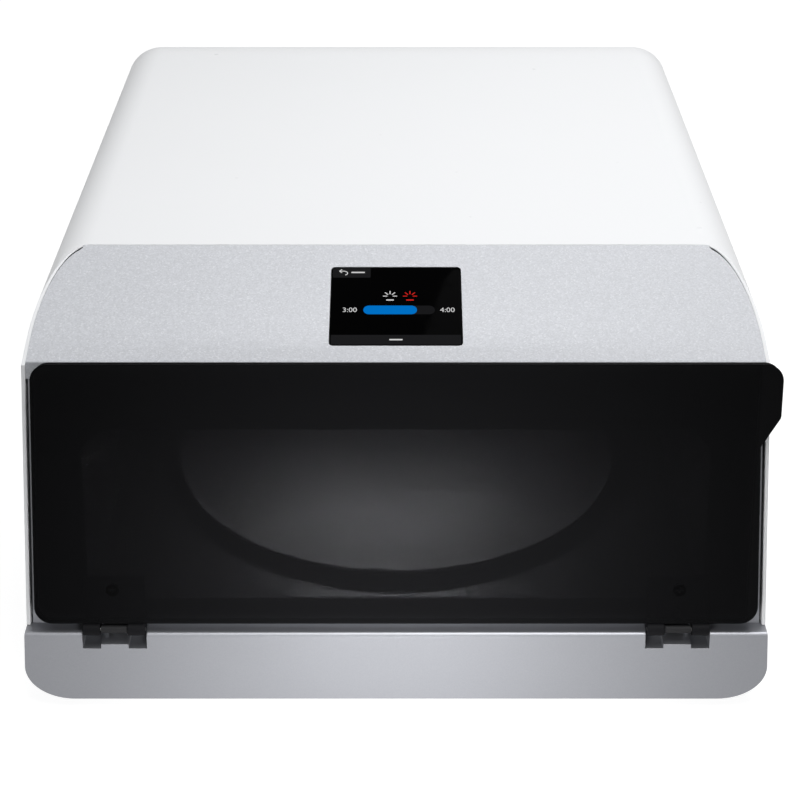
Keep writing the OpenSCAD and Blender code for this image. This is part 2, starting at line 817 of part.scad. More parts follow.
module chamber_liner() color([0.85, 0.85, 0.87]) difference() {
  union() {
    in_body() chamber_block(shell_x, floor_z - liner_t, ceiling_z + liner_t, -liner_n, chamber_back);
    on_front() front_slab(-liner_n - liner_t, -liner_n) polygon([
      [-shell_x - flange_w, mouth_low],
      [shell_x + flange_w, mouth_low],
      [shell_x + flange_w, mouth_high + flange_w + lintel_screw_up / 2],
      [-shell_x - flange_w, mouth_high + flange_w + lintel_screw_up / 2]
    ]);
  }
  in_body() chamber_block(chamber_half, floor_z, ceiling_z, 0, chamber_back - liner_t);
  in_body() {
    translate([0, lamp_y, ceiling_z]) cube([top_lamp_w, top_lamp_len, liner_t * 4], center = true);
    pair_x(shell_x) translate([0, lamp_y, side_lamp_z])
      cube([liner_t * 6, side_lamp_len, side_lamp_h], center = true);
    translate([0, plate_y, floor_z - liner_t * 2]) cylinder(h = liner_t * 4, d = bush_d + 2 * clear);
    motor_screw_places() translate([0, 0, -10]) cylinder(h = 20, d = m3 + 2 * clear);
    chamber_vents();
  }
  on_front() lintel_places() translate([0, 0, -frame_t * 4]) cylinder(h = frame_t * 5, d = m4 + 2 * clear);
}

// Slots in the chamber back that let warm air out to the fans
module chamber_vents() {
  for (side = [-1, 1], i = [0:back_slots - 1]) translate([
    side * fan_x + (i - (back_slots - 1) / 2) * slot_pitch,
    chamber_back - liner_t / 2,
    (floor_z + ceiling_z) / 2 + slot_pitch
  ]) cube([slot_w, liner_t * 3, back_slot_len], center = true);
}

leg_rear_y = chamber_back - 24;
module chamber_legs() in_body() color("silver")
  for (side = [-1, 1], y = [foot_front_y, leg_rear_y]) translate([side * foot_x, y, wall])
    difference() {
      cylinder(h = floor_z - liner_t - wall, d = leg_d);
      translate([0, 0, -1]) cylinder(h = 9, d = m4 + 2 * clear);
    }

module leg_screw_places() pair_x(foot_x) translate([0, leg_rear_y, 0]) rotate([180, 0, 0])
  children();
module leg_screws() in_body() color("gray") leg_screw_places() flat_screw(m4, wall + 5);

// Places of the lamp stacks: children are drawn on the wall's outer face, pointing outwards
module on_ceiling() in_body() translate([0, lamp_y, ceiling_z + liner_t + clear]) children();
module on_side(side) in_body() translate([side * (shell_x + clear), lamp_y, side_lamp_z])
  rotate([0, side * 90, 0]) children();
module on_sides() {
  for (side = [-1, 1]) on_side(side) children();
}

module ring(w, len, rim, low, high) difference() {
  translate([0, 0, (low + high) / 2]) cube([w + 2 * rim, len + 2 * rim, high - low], center = true);
  translate([0, 0, (low + high) / 2]) cube([w, len, high - low + 2], center = true);
}
module slab(w, len, low, high) translate([-w / 2, -len / 2, low]) cube([w, len, high - low]);

module lamp_frame(w, len) {
  ring(w + 2 * window_lap + 2 * clear, len + 2 * window_lap + 2 * clear,
    lamp_rim - window_lap - clear, 0, window_t + 0.2);
  ring(w, len, lamp_rim, window_t + 0.1, lamp_frame_t);
}
module lamp_frames() color("dimgray") {
  on_ceiling() lamp_frame(top_lamp_w, top_lamp_len);
  on_sides() lamp_frame(side_lamp_h, side_lamp_len);
}

module lamp_window(w, len) color([0.85, 0.9, 1, 0.5])
  slab(w + 2 * window_lap, len + 2 * window_lap, 0, window_t);
module top_lamp_window() on_ceiling() lamp_window(top_lamp_w, top_lamp_len);
module left_lamp_window() on_side(-1) lamp_window(side_lamp_h, side_lamp_len);
module right_lamp_window() on_side(1) lamp_window(side_lamp_h, side_lamp_len);

module lamp_boards() color("white") {
  on_ceiling() slab(top_lamp_w + 2 * lamp_rim, top_lamp_len + 2 * lamp_rim, lamp_frame_t,
    lamp_frame_t + board_t);
  on_sides() slab(side_lamp_h + 2 * lamp_rim, side_lamp_len + 2 * lamp_rim, lamp_frame_t,
    lamp_frame_t + board_t);
}

module emitter_grid(w, len, nx, ny) {
  for (i = [0:nx - 1], j = [0:ny - 1])
    translate([(i - (nx - 1) / 2) * w / nx, (j - (ny - 1) / 2) * len / ny, lamp_frame_t - emitter_t])
      slab(emitter_w, emitter_w, 0, emitter_t);
}
module light_emitters() color("khaki") {
  on_ceiling() emitter_grid(top_lamp_w, top_lamp_len, 6, 6);
  on_sides() emitter_grid(side_lamp_h, side_lamp_len, 3, 6);
}

module heat_sink(w, len, fins, height) {
  low = lamp_frame_t + board_t;
  fin_t = 1.2;
  slab(w, len, low, low + sink_base);
  for (i = [0:fins - 1])
    translate([(i - (fins - 1) / 2) * (w - fin_t) / (fins - 1), 0, 0])
      slab(fin_t, len, low + sink_base - 0.1, low + sink_base + height);
}
module top_heat_sink() on_ceiling() color("silver")
  heat_sink(top_lamp_w + 2 * lamp_rim, top_lamp_len + 2 * lamp_rim, 22, fin_h + 2);
module side_heat_sink(side) on_side(side) color("silver")
  heat_sink(side_lamp_h + 2 * lamp_rim, side_lamp_len + 2 * lamp_rim, 10, fin_h);
module left_heat_sink() side_heat_sink(-1);
module right_heat_sink() side_heat_sink(1);

// TURNTABLE AND DRIVE

module on_turntable(z) in_body() translate([0, plate_y, z]) children();

module turntable_plate() on_turntable(plate_z) color("lightgray") rotate_extrude()
  polygon([
    [shaft_d / 2 + 2, 0],
    [plate_d / 2 - 5, 0],
    [plate_d / 2, plate_rim],
    [plate_d / 2, plate_rim + plate_t],
    [plate_d / 2 - 1.5, plate_rim + plate_t],
    [plate_d / 2 - 6.5, plate_t],
    [shaft_d / 2 + 2, plate_t]
  ]);

module turntable_hub() on_turntable(hub_z) color("gray") difference() {
  union() {
    cylinder(h = plate_z - hub_z, d = hub_d);
    cylinder(h = plate_z - hub_z + plate_t + 1, d = shaft_d + 3.6);
  }
  translate([0, 0, -1]) cylinder(h = plate_z - hub_z + 2, d = shaft_d + 2 * run_gap);
}

module drive_shaft() on_turntable(shaft_low) color("silver")
  cylinder(h = plate_z + 0.5 - shaft_low, d = shaft_d);

module shaft_bush() on_turntable(0) color("goldenrod") difference() {
  union() {
    translate([0, 0, motor_top + motor_plate_t]) cylinder(h = liner_t + 0.5, d = bush_d);
    translate([0, 0, floor_z]) cylinder(h = bush_flange_t, d = bush_flange_d);
  }
  translate([0, 0, motor_top]) cylinder(h = 20, d = shaft_d + 2 * run_gap);
}

motor_screw_r = motor_d / 2 + 6;
module motor_screw_places() on_motor_floor() for (a = [0, 90, 180, 270]) rotate([0, 0, a + 45])
  translate([motor_screw_r, 0, 0]) children();
module on_motor_floor() translate([0, plate_y, floor_z]) children();

module motor_plate() in_body() color("silver") difference() {
  translate([0, plate_y, motor_top]) cylinder(h = motor_plate_t, r = motor_screw_r + 5);
  translate([0, plate_y, motor_top - 1]) cylinder(h = motor_plate_t + 2, d = shaft_d + 3);
  motor_screw_places() translate([0, 0, -10]) cylinder(h = 20, d = m3 + 2 * clear);
}

module gear_motor() in_body() color("gray") difference() {
  union() {
    translate([0, plate_y, motor_top - motor_h]) cylinder(h = motor_h, d = motor_d);
    translate([-motor_d / 6, plate_y - motor_d / 2 - 5, motor_top - motor_h + 4])
      cube([motor_d / 3, 8, motor_h - 8]);
  }
  translate([0, plate_y, shaft_low - 0.5]) cylinder(h = motor_h, d = shaft_d + 2 * run_gap);
}

module motor_screws() in_body() color("gray") motor_screw_places()
  pan_screw(m3, liner_t + motor_plate_t + 2);

// POWER AND CONTROL

supply_low = [supply_x - supply[0] / 2, supply_y, wall];
module power_supply() in_body() color("silver") difference() {
  block(supply_low, supply_low + supply);
  block(supply_low + [supply_cover_t, supply_cover_t, supply[2] - supply_terminals],
    supply_low + [supply[0] - supply_terminals, supply[1] - supply_cover_t,
      supply[2] - supply_cover_t]);
  for (i = [0:9], j = [0:4]) translate(supply_low + [
    1.5 * vent_pitch + i * vent_pitch,
    supply[1] / 2 + (j - 2) * 1.25 * vent_pitch,
    supply[2] - 2 * supply_cover_t
  ]) cylinder(h = 3 * supply_cover_t, d = vent_d);
  supply_screw_places() flat_screw_hole(m3, wall + 6);
}

module supply_screw_places() {
  for (sx = [-1, 1], sy = [-1, 1]) translate([
    supply_x + sx * (supply[0] / 2 - supply_screw_in),
    supply_y + supply[1] / 2 + sy * supply_screw_side,
    0
  ]) rotate([180, 0, 0]) children();
}
module supply_screws() in_body() color("gray") supply_screw_places() flat_screw(m3, wall + 5);

module standoff_places() {
  for (sx = [-1, 1], sy = [-1, 1])
    translate([
      board_x + sx * (board_w / 2 - board_screw_in),
      board_y + sy * (board_len / 2 - board_screw_in),
      0
    ]) children();
}
module board_standoffs() in_body() color("silver") standoff_places() difference() {
  translate([0, 0, wall]) cylinder(h = board_z - wall, d = standoff_d);
  translate([0, 0, wall + 2]) cylinder(h = board_z, d = m3 + 2 * clear);
}
module board_screws() in_body() color("gray") standoff_places()
  translate([0, 0, board_z + board_t]) pan_screw(m3, board_t + 4);

module main_board() in_body() color("darkgreen") difference() {
  block([board_x - board_w / 2, board_y - board_len / 2, board_z],
    [board_x + board_w / 2, board_y + board_len / 2, board_z + board_t]);
  standoff_places() translate([0, 0, board_z - 1]) cylinder(h = board_t + 2, d = m3 + 2 * clear);
}

module board_parts() in_body() translate([board_x, board_y, board_z + board_t]) {
  edge = [board_w / 2 - 2 * board_screw_in, board_len / 2 - 2 * board_screw_in];
  color("black") for (i = [0:2])
    translate([-edge[0] + (i + 1) * 1.5 * capacitor_d, -edge[1] + capacitor_d, 0])
      cylinder(h = capacitor_h, d = capacitor_d);
  color("dimgray") block([-edge[0], -board_screw_in, 0],
    [-edge[0] + board_w / 4, board_len / 4, 2 * chip_t]);
  color("black") block([0, -board_screw_in, 0], [board_w / 8, board_w / 8 - board_screw_in, chip_t]);
  color("white") for (i = [0:3])
    translate([edge[0] - 2 * socket_size[0], -edge[1] + i * 1.8 * socket_size[1], 0])
      cube(socket_size);
  color("silver") block([-2 * board_screw_in, board_len / 4, 0],
    [board_w / 4, board_len / 4 + board_screw_in, capacitor_h + chip_t]);
}

// REAR

module rear_screw_places() {
  high = body_h - wall - rear_flange_w / 2;
  low = wall + rear_flange_w / 2;
  side_at = side_x(body_h / 2, wall + rear_flange_w / 2);
  places = [
    [-inlet_x, high], [0, high], [inlet_x, high], [-side_at, body_h / 2], [side_at, body_h / 2],
    [-inlet_x, low], [0, low], [inlet_x, low]
  ];
  for (p = places) translate([p[0], panel_out_y, p[1]]) rotate([-90, 0, 0]) children();
}

module fan_place(side) translate([side * fan_x, panel_in_y, fan_z]) rotate([-90, 0, 0]) children();
module fan_places() {
  for (side = [-1, 1]) fan_place(side) children();
}
module fan_corners() {
  for (sx = [-1, 1], sy = [-1, 1]) translate([sx * fan_hole, sy * fan_hole, 0]) children();
}

module rear_panel() in_body() color("darkgray") difference() {
  along_y(panel_in_y, panel_out_y) polygon(full_section(wall + panel_gap));
  rear_screw_places() translate([0, 0, -8]) cylinder(h = 16, d = m3 + 2 * clear);
  fan_places() {
    translate([0, 0, -1]) cylinder(h = rear_sheet + 2, d = fan_bore_d);
    fan_corners() translate([0, 0, -1]) cylinder(h = rear_sheet + 2, d = m4 + 2 * clear);
  }
  translate([-inlet_x, panel_out_y, inlet_z])
    cube([inlet_w + 0.4, 8, inlet_h + 0.4], center = true);
  translate([-switch_x, panel_out_y, inlet_z])
    cube([switch_w + 0.4, 8, switch_h + 0.4], center = true);
  for (i = [0:rear_vents - 1])
    translate([board_x + (i - (rear_vents - 1) / 2) * 2 * slot_w, panel_out_y, inlet_z])
      cube([slot_w - 1, 4 * rear_sheet, rear_vent_len], center = true);
}

module rear_screws() in_body() color("gray") rear_screw_places()
  pan_screw(m3, rear_sheet + rear_flange_t + screw_grip);

fan_plate_t = 4;
fan_strut_t = 3;
fan_cup = 1.5;
module fan_frame(side) in_body() color([0.15, 0.15, 0.15]) fan_place(side)
  translate([0, 0, -fan_depth]) difference() {
    union() {
      difference() {
        translate([-fan_w / 2, -fan_w / 2, 0]) cube([fan_w, fan_w, fan_depth]);
        translate([0, 0, -1]) cylinder(h = fan_depth + 2, d = fan_bore_d);
      }
      for (a = [30, 150, 270]) rotate([0, 0, a]) translate([fan_hub_d / 2 - 2, -2.5, 0])
        cube([(fan_bore_d - fan_hub_d) / 2 + 3, 5, fan_strut_t]);
      cylinder(h = fan_plate_t, d = fan_hub_d);
    }
    fan_corners() translate([0, 0, -1]) cylinder(h = fan_depth + 2, d = m4 + 2 * clear);
    translate([0, 0, fan_cup]) cylinder(h = fan_plate_t, d = fan_shaft_d + 2 * run_gap);
  }
module left_fan_frame() fan_frame(-1);
module right_fan_frame() fan_frame(1);

blade_t = 1.5;
blade_pitch = 38;
module fan_impeller(side) in_body() color([0.1, 0.1, 0.1]) fan_place(side)
  translate([0, 0, -fan_depth]) {
    low = fan_plate_t + 0.6;
    high = fan_depth - 2;
    translate([0, 0, fan_cup + 0.3]) cylinder(h = low - fan_cup, d = fan_shaft_d);
    translate([0, 0, low]) cylinder(h = high - low, d = fan_hub_d - 1);
    intersection() {
      translate([0, 0, low]) cylinder(h = high - low, d = fan_bore_d - 2.4);
      for (i = [0:blades - 1]) rotate([0, 0, i * 360 / blades])
        translate([fan_hub_d / 2 - 2, 0, (low + high) / 2]) rotate([blade_pitch, 0, 0])
          translate([0, -blade_t / 2, -fan_depth / 2]) cube([fan_bore_d, blade_t, fan_depth]);
    }
  }
module left_fan_impeller() fan_impeller(-1);
module right_fan_impeller() fan_impeller(1);

guard_wire = 1.6;
module fan_guard(side) in_body() color("silver") fan_place(side) translate([0, 0, rear_sheet])
  difference() {
    union() {
      for (share = [0.25, 0.5, 0.75, 0.95]) difference() {
        cylinder(h = guard_wire, d = fan_w * share);
        translate([0, 0, -1]) cylinder(h = guard_wire + 2, d = fan_w * share - 2 * guard_wire);
      }
      for (a = [45, 135]) rotate([0, 0, a]) translate([-fan_w * 0.66, -guard_wire / 2, 0])
        cube([fan_w * 1.32, guard_wire, guard_wire]);
      fan_corners() cylinder(h = guard_wire, d = m4 + 5);
    }
    fan_corners() translate([0, 0, -1]) cylinder(h = guard_wire + 2, d = m4 + 2 * clear);
  }
module left_fan_guard() fan_guard(-1);
module right_fan_guard() fan_guard(1);

module fan_screws() in_body() color("gray") fan_places()
  translate([0, 0, rear_sheet + guard_wire]) fan_corners() pan_screw(m4 - 2 * clear, fan_depth / 2);

module on_inlet() in_body() translate([-inlet_x, panel_out_y, inlet_z]) rotate([-90, 0, 0])
  children();
function socket_outline() = [[-12.2, -8.2], [12.2, -8.2], [12.2, 3.6], [7.6, 8.2], [-7.6, 8.2],
  [-12.2, 3.6]];

module mains_inlet() on_inlet() color([0.1, 0.1, 0.1]) {
  difference() {
    union() {
      slab(inlet_w, inlet_h, -inlet_depth, 0);
      slab(inlet_w + 2 * bezel, inlet_h + 2 * bezel, 0, bezel_t);
    }
    translate([0, 0, rear_recess - socket_depth]) linear_extrude(socket_depth)
      polygon(socket_outline());
  }
  color("silver") for (p = [[-7, 1.6], [7, 1.6], [0, -2.4]])
    translate([p[0], p[1], rear_recess - socket_depth - 1]) slab(pin_t, pin_w, 0, socket_depth - 5);
}

module on_switch() in_body() translate([-switch_x, panel_out_y, inlet_z]) rotate([-90, 0, 0])
  children();
rocker_z = rear_recess - rocker_axis_in;

module switch_housing() on_switch() color([0.1, 0.1, 0.1]) difference() {
  union() {
    slab(switch_w, switch_h, -switch_depth, 0);
    slab(switch_w + 2 * bezel, switch_h + 2 * bezel, 0, bezel_t);
  }
  slab(rocker_w + 0.6, 2 * rocker_r + 0.8, rocker_z - 7.6, rear_recess + 1);
  rod_x(-switch_w / 2 - 1, switch_w / 2 + 1, 0, rocker_z, 3 + 2 * run_gap);
}

module power_rocker() on_switch() color([0.15, 0.15, 0.15]) translate([0, 0, rocker_z])
  rotate([-rocker_swing / 2, 0, 0]) {
    intersection() {
      rod_x(-rocker_w / 2, rocker_w / 2, 0, 0, 2 * rocker_r);
      along_x(-rocker_w / 2, rocker_w / 2)
        polygon([[-rocker_r, -5], [rocker_r, -5], [rocker_r, 8], [0, 5], [-rocker_r, 8]]);
    }
    rod_x(-switch_w / 2 + 0.2, switch_w / 2 - 0.2, 0, 0, 3);
  }

upper_cover();
console_panel();
display_glass();
display_module();
display_board();
display_studs();
front_frame();
lintel_screws();
door_panel();
left_door_leaf();
right_door_leaf();
leaf_screws();
sensor_magnet();
door_sensor();
left_hinge_bracket();
right_hinge_bracket();
hinge_pins();
bracket_screws();
base_tray();
rubber_feet();
foot_screws();
cover_screws();
chamber_liner();
chamber_legs();
leg_screws();
lamp_frames();
top_lamp_window();
left_lamp_window();
right_lamp_window();
lamp_boards();
light_emitters();
top_heat_sink();
left_heat_sink();
right_heat_sink();
turntable_plate();
turntable_hub();
drive_shaft();
shaft_bush();
gear_motor();
motor_plate();
motor_screws();
power_supply();
supply_screws();
main_board();
board_parts();
board_standoffs();
board_screws();
rear_panel();
rear_screws();
left_fan_frame();
right_fan_frame();
left_fan_impeller();
right_fan_impeller();
left_fan_guard();
right_fan_guard();
fan_screws();
mains_inlet();
switch_housing();
power_rocker();
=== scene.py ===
"""Dental laboratory light curing unit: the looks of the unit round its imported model.

The unit stands on its rubber feet. +X is to its right seen from the front, +Y to its back and
+Z up, in metres. Shapes are worked out in the casing's own place, where y = 0 and z = 0 lie at
the foot of the front frame's face on the underside of the base, and are then put in the frame.
"""
import json
import math

import bmesh
import bpy
import numpy as np
from bpy.props import FloatProperty, FloatVectorProperty, IntProperty, PointerProperty
from mathutils import Matrix, Vector

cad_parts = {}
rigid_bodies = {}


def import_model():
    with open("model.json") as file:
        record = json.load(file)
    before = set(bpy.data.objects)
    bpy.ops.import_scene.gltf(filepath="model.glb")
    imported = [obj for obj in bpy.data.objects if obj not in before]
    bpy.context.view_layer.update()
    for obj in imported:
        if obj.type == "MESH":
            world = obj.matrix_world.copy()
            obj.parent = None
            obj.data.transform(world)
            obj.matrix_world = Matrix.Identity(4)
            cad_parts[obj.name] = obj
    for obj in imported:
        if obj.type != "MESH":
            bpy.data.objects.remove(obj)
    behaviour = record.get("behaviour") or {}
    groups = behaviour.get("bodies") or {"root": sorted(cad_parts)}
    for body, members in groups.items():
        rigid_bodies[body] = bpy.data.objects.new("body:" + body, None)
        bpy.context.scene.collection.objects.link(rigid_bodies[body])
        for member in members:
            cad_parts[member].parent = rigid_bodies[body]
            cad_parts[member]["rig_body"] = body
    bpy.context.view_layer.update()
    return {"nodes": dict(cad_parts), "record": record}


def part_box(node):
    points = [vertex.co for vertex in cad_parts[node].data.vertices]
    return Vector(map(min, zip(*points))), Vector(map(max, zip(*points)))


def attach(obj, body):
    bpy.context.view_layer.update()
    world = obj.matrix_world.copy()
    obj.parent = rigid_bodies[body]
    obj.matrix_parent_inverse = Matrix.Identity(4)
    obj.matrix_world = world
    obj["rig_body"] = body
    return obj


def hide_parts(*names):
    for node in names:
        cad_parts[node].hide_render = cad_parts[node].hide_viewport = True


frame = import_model()

bl_info = {
    "name": "Light Curing Unit",
    "version": (1, 0, 0),
    "blender": (4, 5, 0),
    "location": "View3D > Sidebar > Curing Unit",
    "description": "Builds the casing, door, console, fans and finishes of a light curing unit",
    "category": "Object",
}


# SIZES AND COLOURS THAT CAN BE CHANGED

def length(name, description, millimetres):
    return FloatProperty(name=name, description=description, default=millimetres / 1000, min=0.0,
                         precision=5, subtype="DISTANCE", unit="LENGTH")


def angle(name, description, degrees):
    return FloatProperty(name=name, description=description, default=math.radians(degrees),
                         subtype="ANGLE", unit="ROTATION")


def colour(name, description, value):
    return FloatVectorProperty(name=name, description=description, default=value, size=3,
                               min=0.0, max=1.0, subtype="COLOR")


class CuringSizes(bpy.types.PropertyGroup):
    """Sizes of the unit."""
    body_w: length("Casing width", "Width at the lower edge of the console", 400)
    front_h: length("Front height", "Lower edge of the console above the base", 188)
    console_len: length("Console length", "Length of the slope on its surface", 89)
    top_len: length("Top length", "Length of the flat top, front to back", 350)
    lean: angle("Front lean", "How far the front leans back from upright", 12)
    slope: angle("Console slope", "Slope of the console above level", 20)
    draft: angle("Side draft", "Draft of each side", 2.5)
    corner_r: length("Corner radius", "Radius of the long top corners", 27)
    wall: length("Wall", "Thickness of the cover", 2)
    rim_t: length("Rim", "Thickness of the cover's rim above the console", 0.6)
    rim_out: length("Rim reach", "How far the rim stands in front of the front frame", 2)
    gap: length("Panel gap", "Gap between panels that meet", 0.3)
    seam: length("Console seam", "Gap between the console's sides and the cover", 0.06)
    return_len: length("Console return", "Height of the bent-down edge of the console", 9.5)
    console_bend: length("Console bend", "Outer radius of the console's bend", 1.2)
    base_h: length("Base height", "Height of the base tray", 39)
    ledge_out: length("Ledge", "How far the base stands out from the front frame", 10)
    foot_d: length("Foot diameter", "Diameter of the rubber feet", 24)
    foot_h: length("Foot height", "Height of the rubber feet", 6)
    door_t: length("Door thickness", "Thickness of the door panel", 5.5)
    door_gap: length("Door gap", "Gap between the door and the front frame", 3)
    door_margin: length("Door margin", "Door edge inside the casing side", 6.8)
    door_r: length("Door corners", "Radius of the door corners", 8.5)
    door_edge: length("Door edge", "Radius of the polished edge of the door", 1.1)
    tab_out: length("Tab", "How far the finger tab stands out from the casing", 5)
    tab_len: length("Tab length", "Straight height of the finger tab", 28.4)
    tab_slant: length("Tab slant", "Height of the slanted underside of the tab", 16.4)
    hinge_rise: length("Hinge rise", "Height of the hinge axis above the ledge", 1.9)
    door_lift: length("Door lift", "Lower edge of the door above the hinge axis", 4.4)
    glass_w: length("Display width", "Width of the display glass", 72)
    glass_h: length("Display height", "Height of the display glass", 59)
    glass_low: length("Display place", "Display above the lower edge of the console", 12)
    glass_t: length("Display thickness", "Thickness of the display glass", 1.8)
    plate_d: length("Turntable", "Diameter of the turntable", 270)
    plate_t: length("Turntable sheet", "Thickness of the turntable", 2)
    plate_rim: length("Turntable rim", "Height of the turntable's rim", 3)
    plate_y: length("Turntable place", "Turntable axis behind the front", 163)
    fan_w: length("Fan size", "Size of the fan frames", 80)
    fan_x: length("Fan place", "Distance of each fan from the middle", 95)
    fan_z: length("Fan height", "Height of the fan axes above the base", 122)
    wire: length("Guard wire", "Diameter of the fan guard wire", 1.6)
    blades: IntProperty(name="Blades", description="Number of fan blades", default=7, min=3)


class CuringColours(bpy.types.PropertyGroup):
    """Colours of the unit's finishes, as they render under plain white light."""
    cover: colour("Cover", "Glossy white powder paint", (0.86, 0.865, 0.875))
    console: colour("Console", "Light grey speckled paint", (0.60, 0.61, 0.64))
    base: colour("Base", "Silver-grey metallic paint", (0.275, 0.28, 0.30))
    panel: colour("Rear", "Satin grey paint of the rear panel", (0.34, 0.35, 0.37))
    acrylic: colour("Door", "Smoked acrylic of the door", (0.0040, 0.0040, 0.0044))
    glass: colour("Display", "Black glass of the display", (0.0006, 0.0006, 0.0007))
    bar: colour("Progress", "Progress bar on the display", (0.0, 0.162, 0.558))
    mark: colour("Lamp mark", "Second lamp mark on the display", (0.62, 0.02, 0.015))
    plastic: colour("Plastic", "Black plastic of fans and fittings", (0.006, 0.006, 0.0068))
    sheet: colour("Chamber", "Bright aluminium of the chamber", (0.62, 0.63, 0.645))
    steel: colour("Steel", "Zinc-plated steel of the screws", (0.50, 0.50, 0.49))


def sizes():
    return bpy.context.scene.curing_sizes


def colours():
    return bpy.context.scene.curing_colours


# SHADER VALUES

def operation(kind, swapped=False):
    """An operator of Value: the Math node of this kind on the value and the other term."""
    def apply(self, other):
        return self.math(kind, *((other, self) if swapped else (self, other)))
    return apply


class Value:
    """A socket of a material's tree; an expression on it adds Math nodes to the tree."""

    def __init__(self, tree, socket):
        self.tree, self.socket = tree, socket

    def node(self, kind, settings=None, output=0, **inputs):
        return add_node(self.tree, kind, settings, output, **inputs)

    def math(self, kind, *others, clamp=False):
        numbers = dict(zip(("i0", "i1", "i2"), others))
        return self.node("ShaderNodeMath", {"operation": kind, "use_clamp": clamp}, **numbers)

    __add__, __radd__ = operation("ADD"), operation("ADD", True)
    __sub__, __rsub__ = operation("SUBTRACT"), operation("SUBTRACT", True)
    __mul__, __rmul__ = operation("MULTIPLY"), operation("MULTIPLY", True)
    __pow__ = operation("POWER")

    def clamped(self):
        return self.math("ADD", self, 0.0, clamp=True)

    def spread(self, low, high):
        """This value, from 0 to 1, spread from low to high."""
        return self * (high - low) + low


def add_node(tree, kind, settings=None, output=0, **inputs):
    """Adds a node, makes its settings, then gives its sockets their values or links.

    Sockets are named with _ for a space, or i0, i1 for their place.
    """
    node = tree.nodes.new(kind)
    for key, value in (settings or {}).items():
        setattr(node, key, value)
    for key, value in inputs.items():
        if key[0] == "i" and key[1:].isdigit():
            socket = node.inputs[int(key[1:])]
        else:
            socket = node.inputs[key.replace("_", " ")]
        if isinstance(value, Value):
            tree.links.new(value.socket, socket)
        elif socket.type == "RGBA" and len(value) == 3:
            socket.default_value = (*value, 1.0)
        else:
            socket.default_value = value
    return Value(tree, node.outputs[output]) if node.outputs else None


def blend(factor, first, second):
    """Colour between two colours."""
    return factor.node("ShaderNodeMix", {"data_type": "RGBA"}, output=2, i0=factor, i6=first,
                       i7=second)


def place(tree, centre=(0, 0, 0), turn=(0, 0, 0), stretch=(1, 1, 1)):
    """Object coordinates about a centre, turned and stretched: a Mapping node as a texture has
    it, which moves by the location, turns back and divides by the scale."""
    where = add_node(tree, "ShaderNodeTexCoord", output=3)
    return add_node(tree, "ShaderNodeMapping", {"vector_type": "TEXTURE"}, Vector=where,
                    Location=centre, Rotation=turn, Scale=stretch)


def noise(where, scale, detail=2.0, roughness=0.5, settings=None):
    return where.node("ShaderNodeTexNoise", settings, Vector=where, Scale=scale, Detail=detail,
                      Roughness=roughness)


def cells(where, scale, feature="F1", output=0, randomness=1.0):
    return where.node("ShaderNodeTexVoronoi", {"feature": feature}, output=output, Vector=where,
                      Scale=scale, Randomness=randomness)


def grains(where, scale):
    """A random value from 0 to 1 for each cell."""
    cell = cells(where, scale, output=1)
    return cell.node("ShaderNodeSeparateColor", i0=cell)


def scaled(tone, factor):
    """A colour made darker or lighter, kept within 1."""
    return tuple(min(c * factor, 1.0) for c in tone)


def grey(value, low, high):
    """0 below low, 1 above high and straight between."""
    return value.node("ShaderNodeMapRange", {"clamp": True}, Value=value, From_Min=low,
                      From_Max=high)


def bumped(height, strength, distance):
    return height.node("ShaderNodeBump", Height=height, Strength=strength, Distance=distance)


def axis(where, index):
    return where.node("ShaderNodeSeparateXYZ", output=index, Vector=where)


def material(name, paint):
    """A material whose main shader takes the sockets that paint(tree) returns."""
    new = bpy.data.materials.new(name)
    new.use_nodes = True
    tree = new.node_tree
    tree.nodes.clear()
    sockets = paint(tree)
    shader = add_node(tree, "ShaderNodeBsdfPrincipled", **sockets)
    add_node(tree, "ShaderNodeOutputMaterial", Surface=shader)
    return new


# FINISHES

def white_paint(tree):
    """Glossy powder paint: a faint orange peel with pale metal flakes under the gloss."""
    where = place(tree)
    flake = grey(grains(where, 3600.0), 0.5, 1.0)
    cloud = noise(where, 14.0, 3.0)
    cover = colours().cover
    tone = blend((cloud * 0.4 + flake * 0.6).clamped(), scaled(cover, 0.99), scaled(cover, 1.015))
    return dict(Base_Color=tone, Roughness=noise(where, 60.0).spread(0.26, 0.32),
                Normal=bumped(noise(where, 420.0, 1.0), 0.05, 0.00004),
                Specular_IOR_Level=0.06)


def console_paint(tree):
    """Fine textured paint: light grey, with dense darker and lighter grains under 1 mm across."""
    where = place(tree)
    grain = grains(where, 1350.0)
    drift = noise(where, 300.0, 3.0)
    spark = grey(grain, 0.90, 1.0)
    light_grey = colours().console
    tone = blend((drift * 0.35 + grain * 0.65).clamped(), scaled(light_grey, 0.88),
                 scaled(light_grey, 1.12))
    tone = blend(spark * 0.22, tone, (0.92, 0.92, 0.94))
    return dict(Base_Color=tone, Roughness=grain.spread(0.42, 0.55), Metallic=0.0,
                Specular_IOR_Level=0.2, Normal=bumped(drift * 0.6 + grain * 0.4, 0.15, 0.00008))


def metallic_paint(tone, low, high, sheen):
    """Metallic paint: fine aluminium flakes that lighten some grains, under a satin clear coat."""
    def paint(tree):
        where = place(tree)
        grain = grains(where, 2400.0)
        drift = noise(where, 9.0, 3.0)
        mixed = blend((drift * 0.6 + grain * 0.4).clamped(), scaled(tone, 0.93),
                      scaled(tone, 1.07))
        return dict(Base_Color=mixed, Roughness=noise(where, 45.0).spread(low, high),
                    Metallic=sheen, Normal=bumped(noise(where, 900.0, 1.0) + grain * 0.3, 0.12,
                                                  0.00005))
    return paint


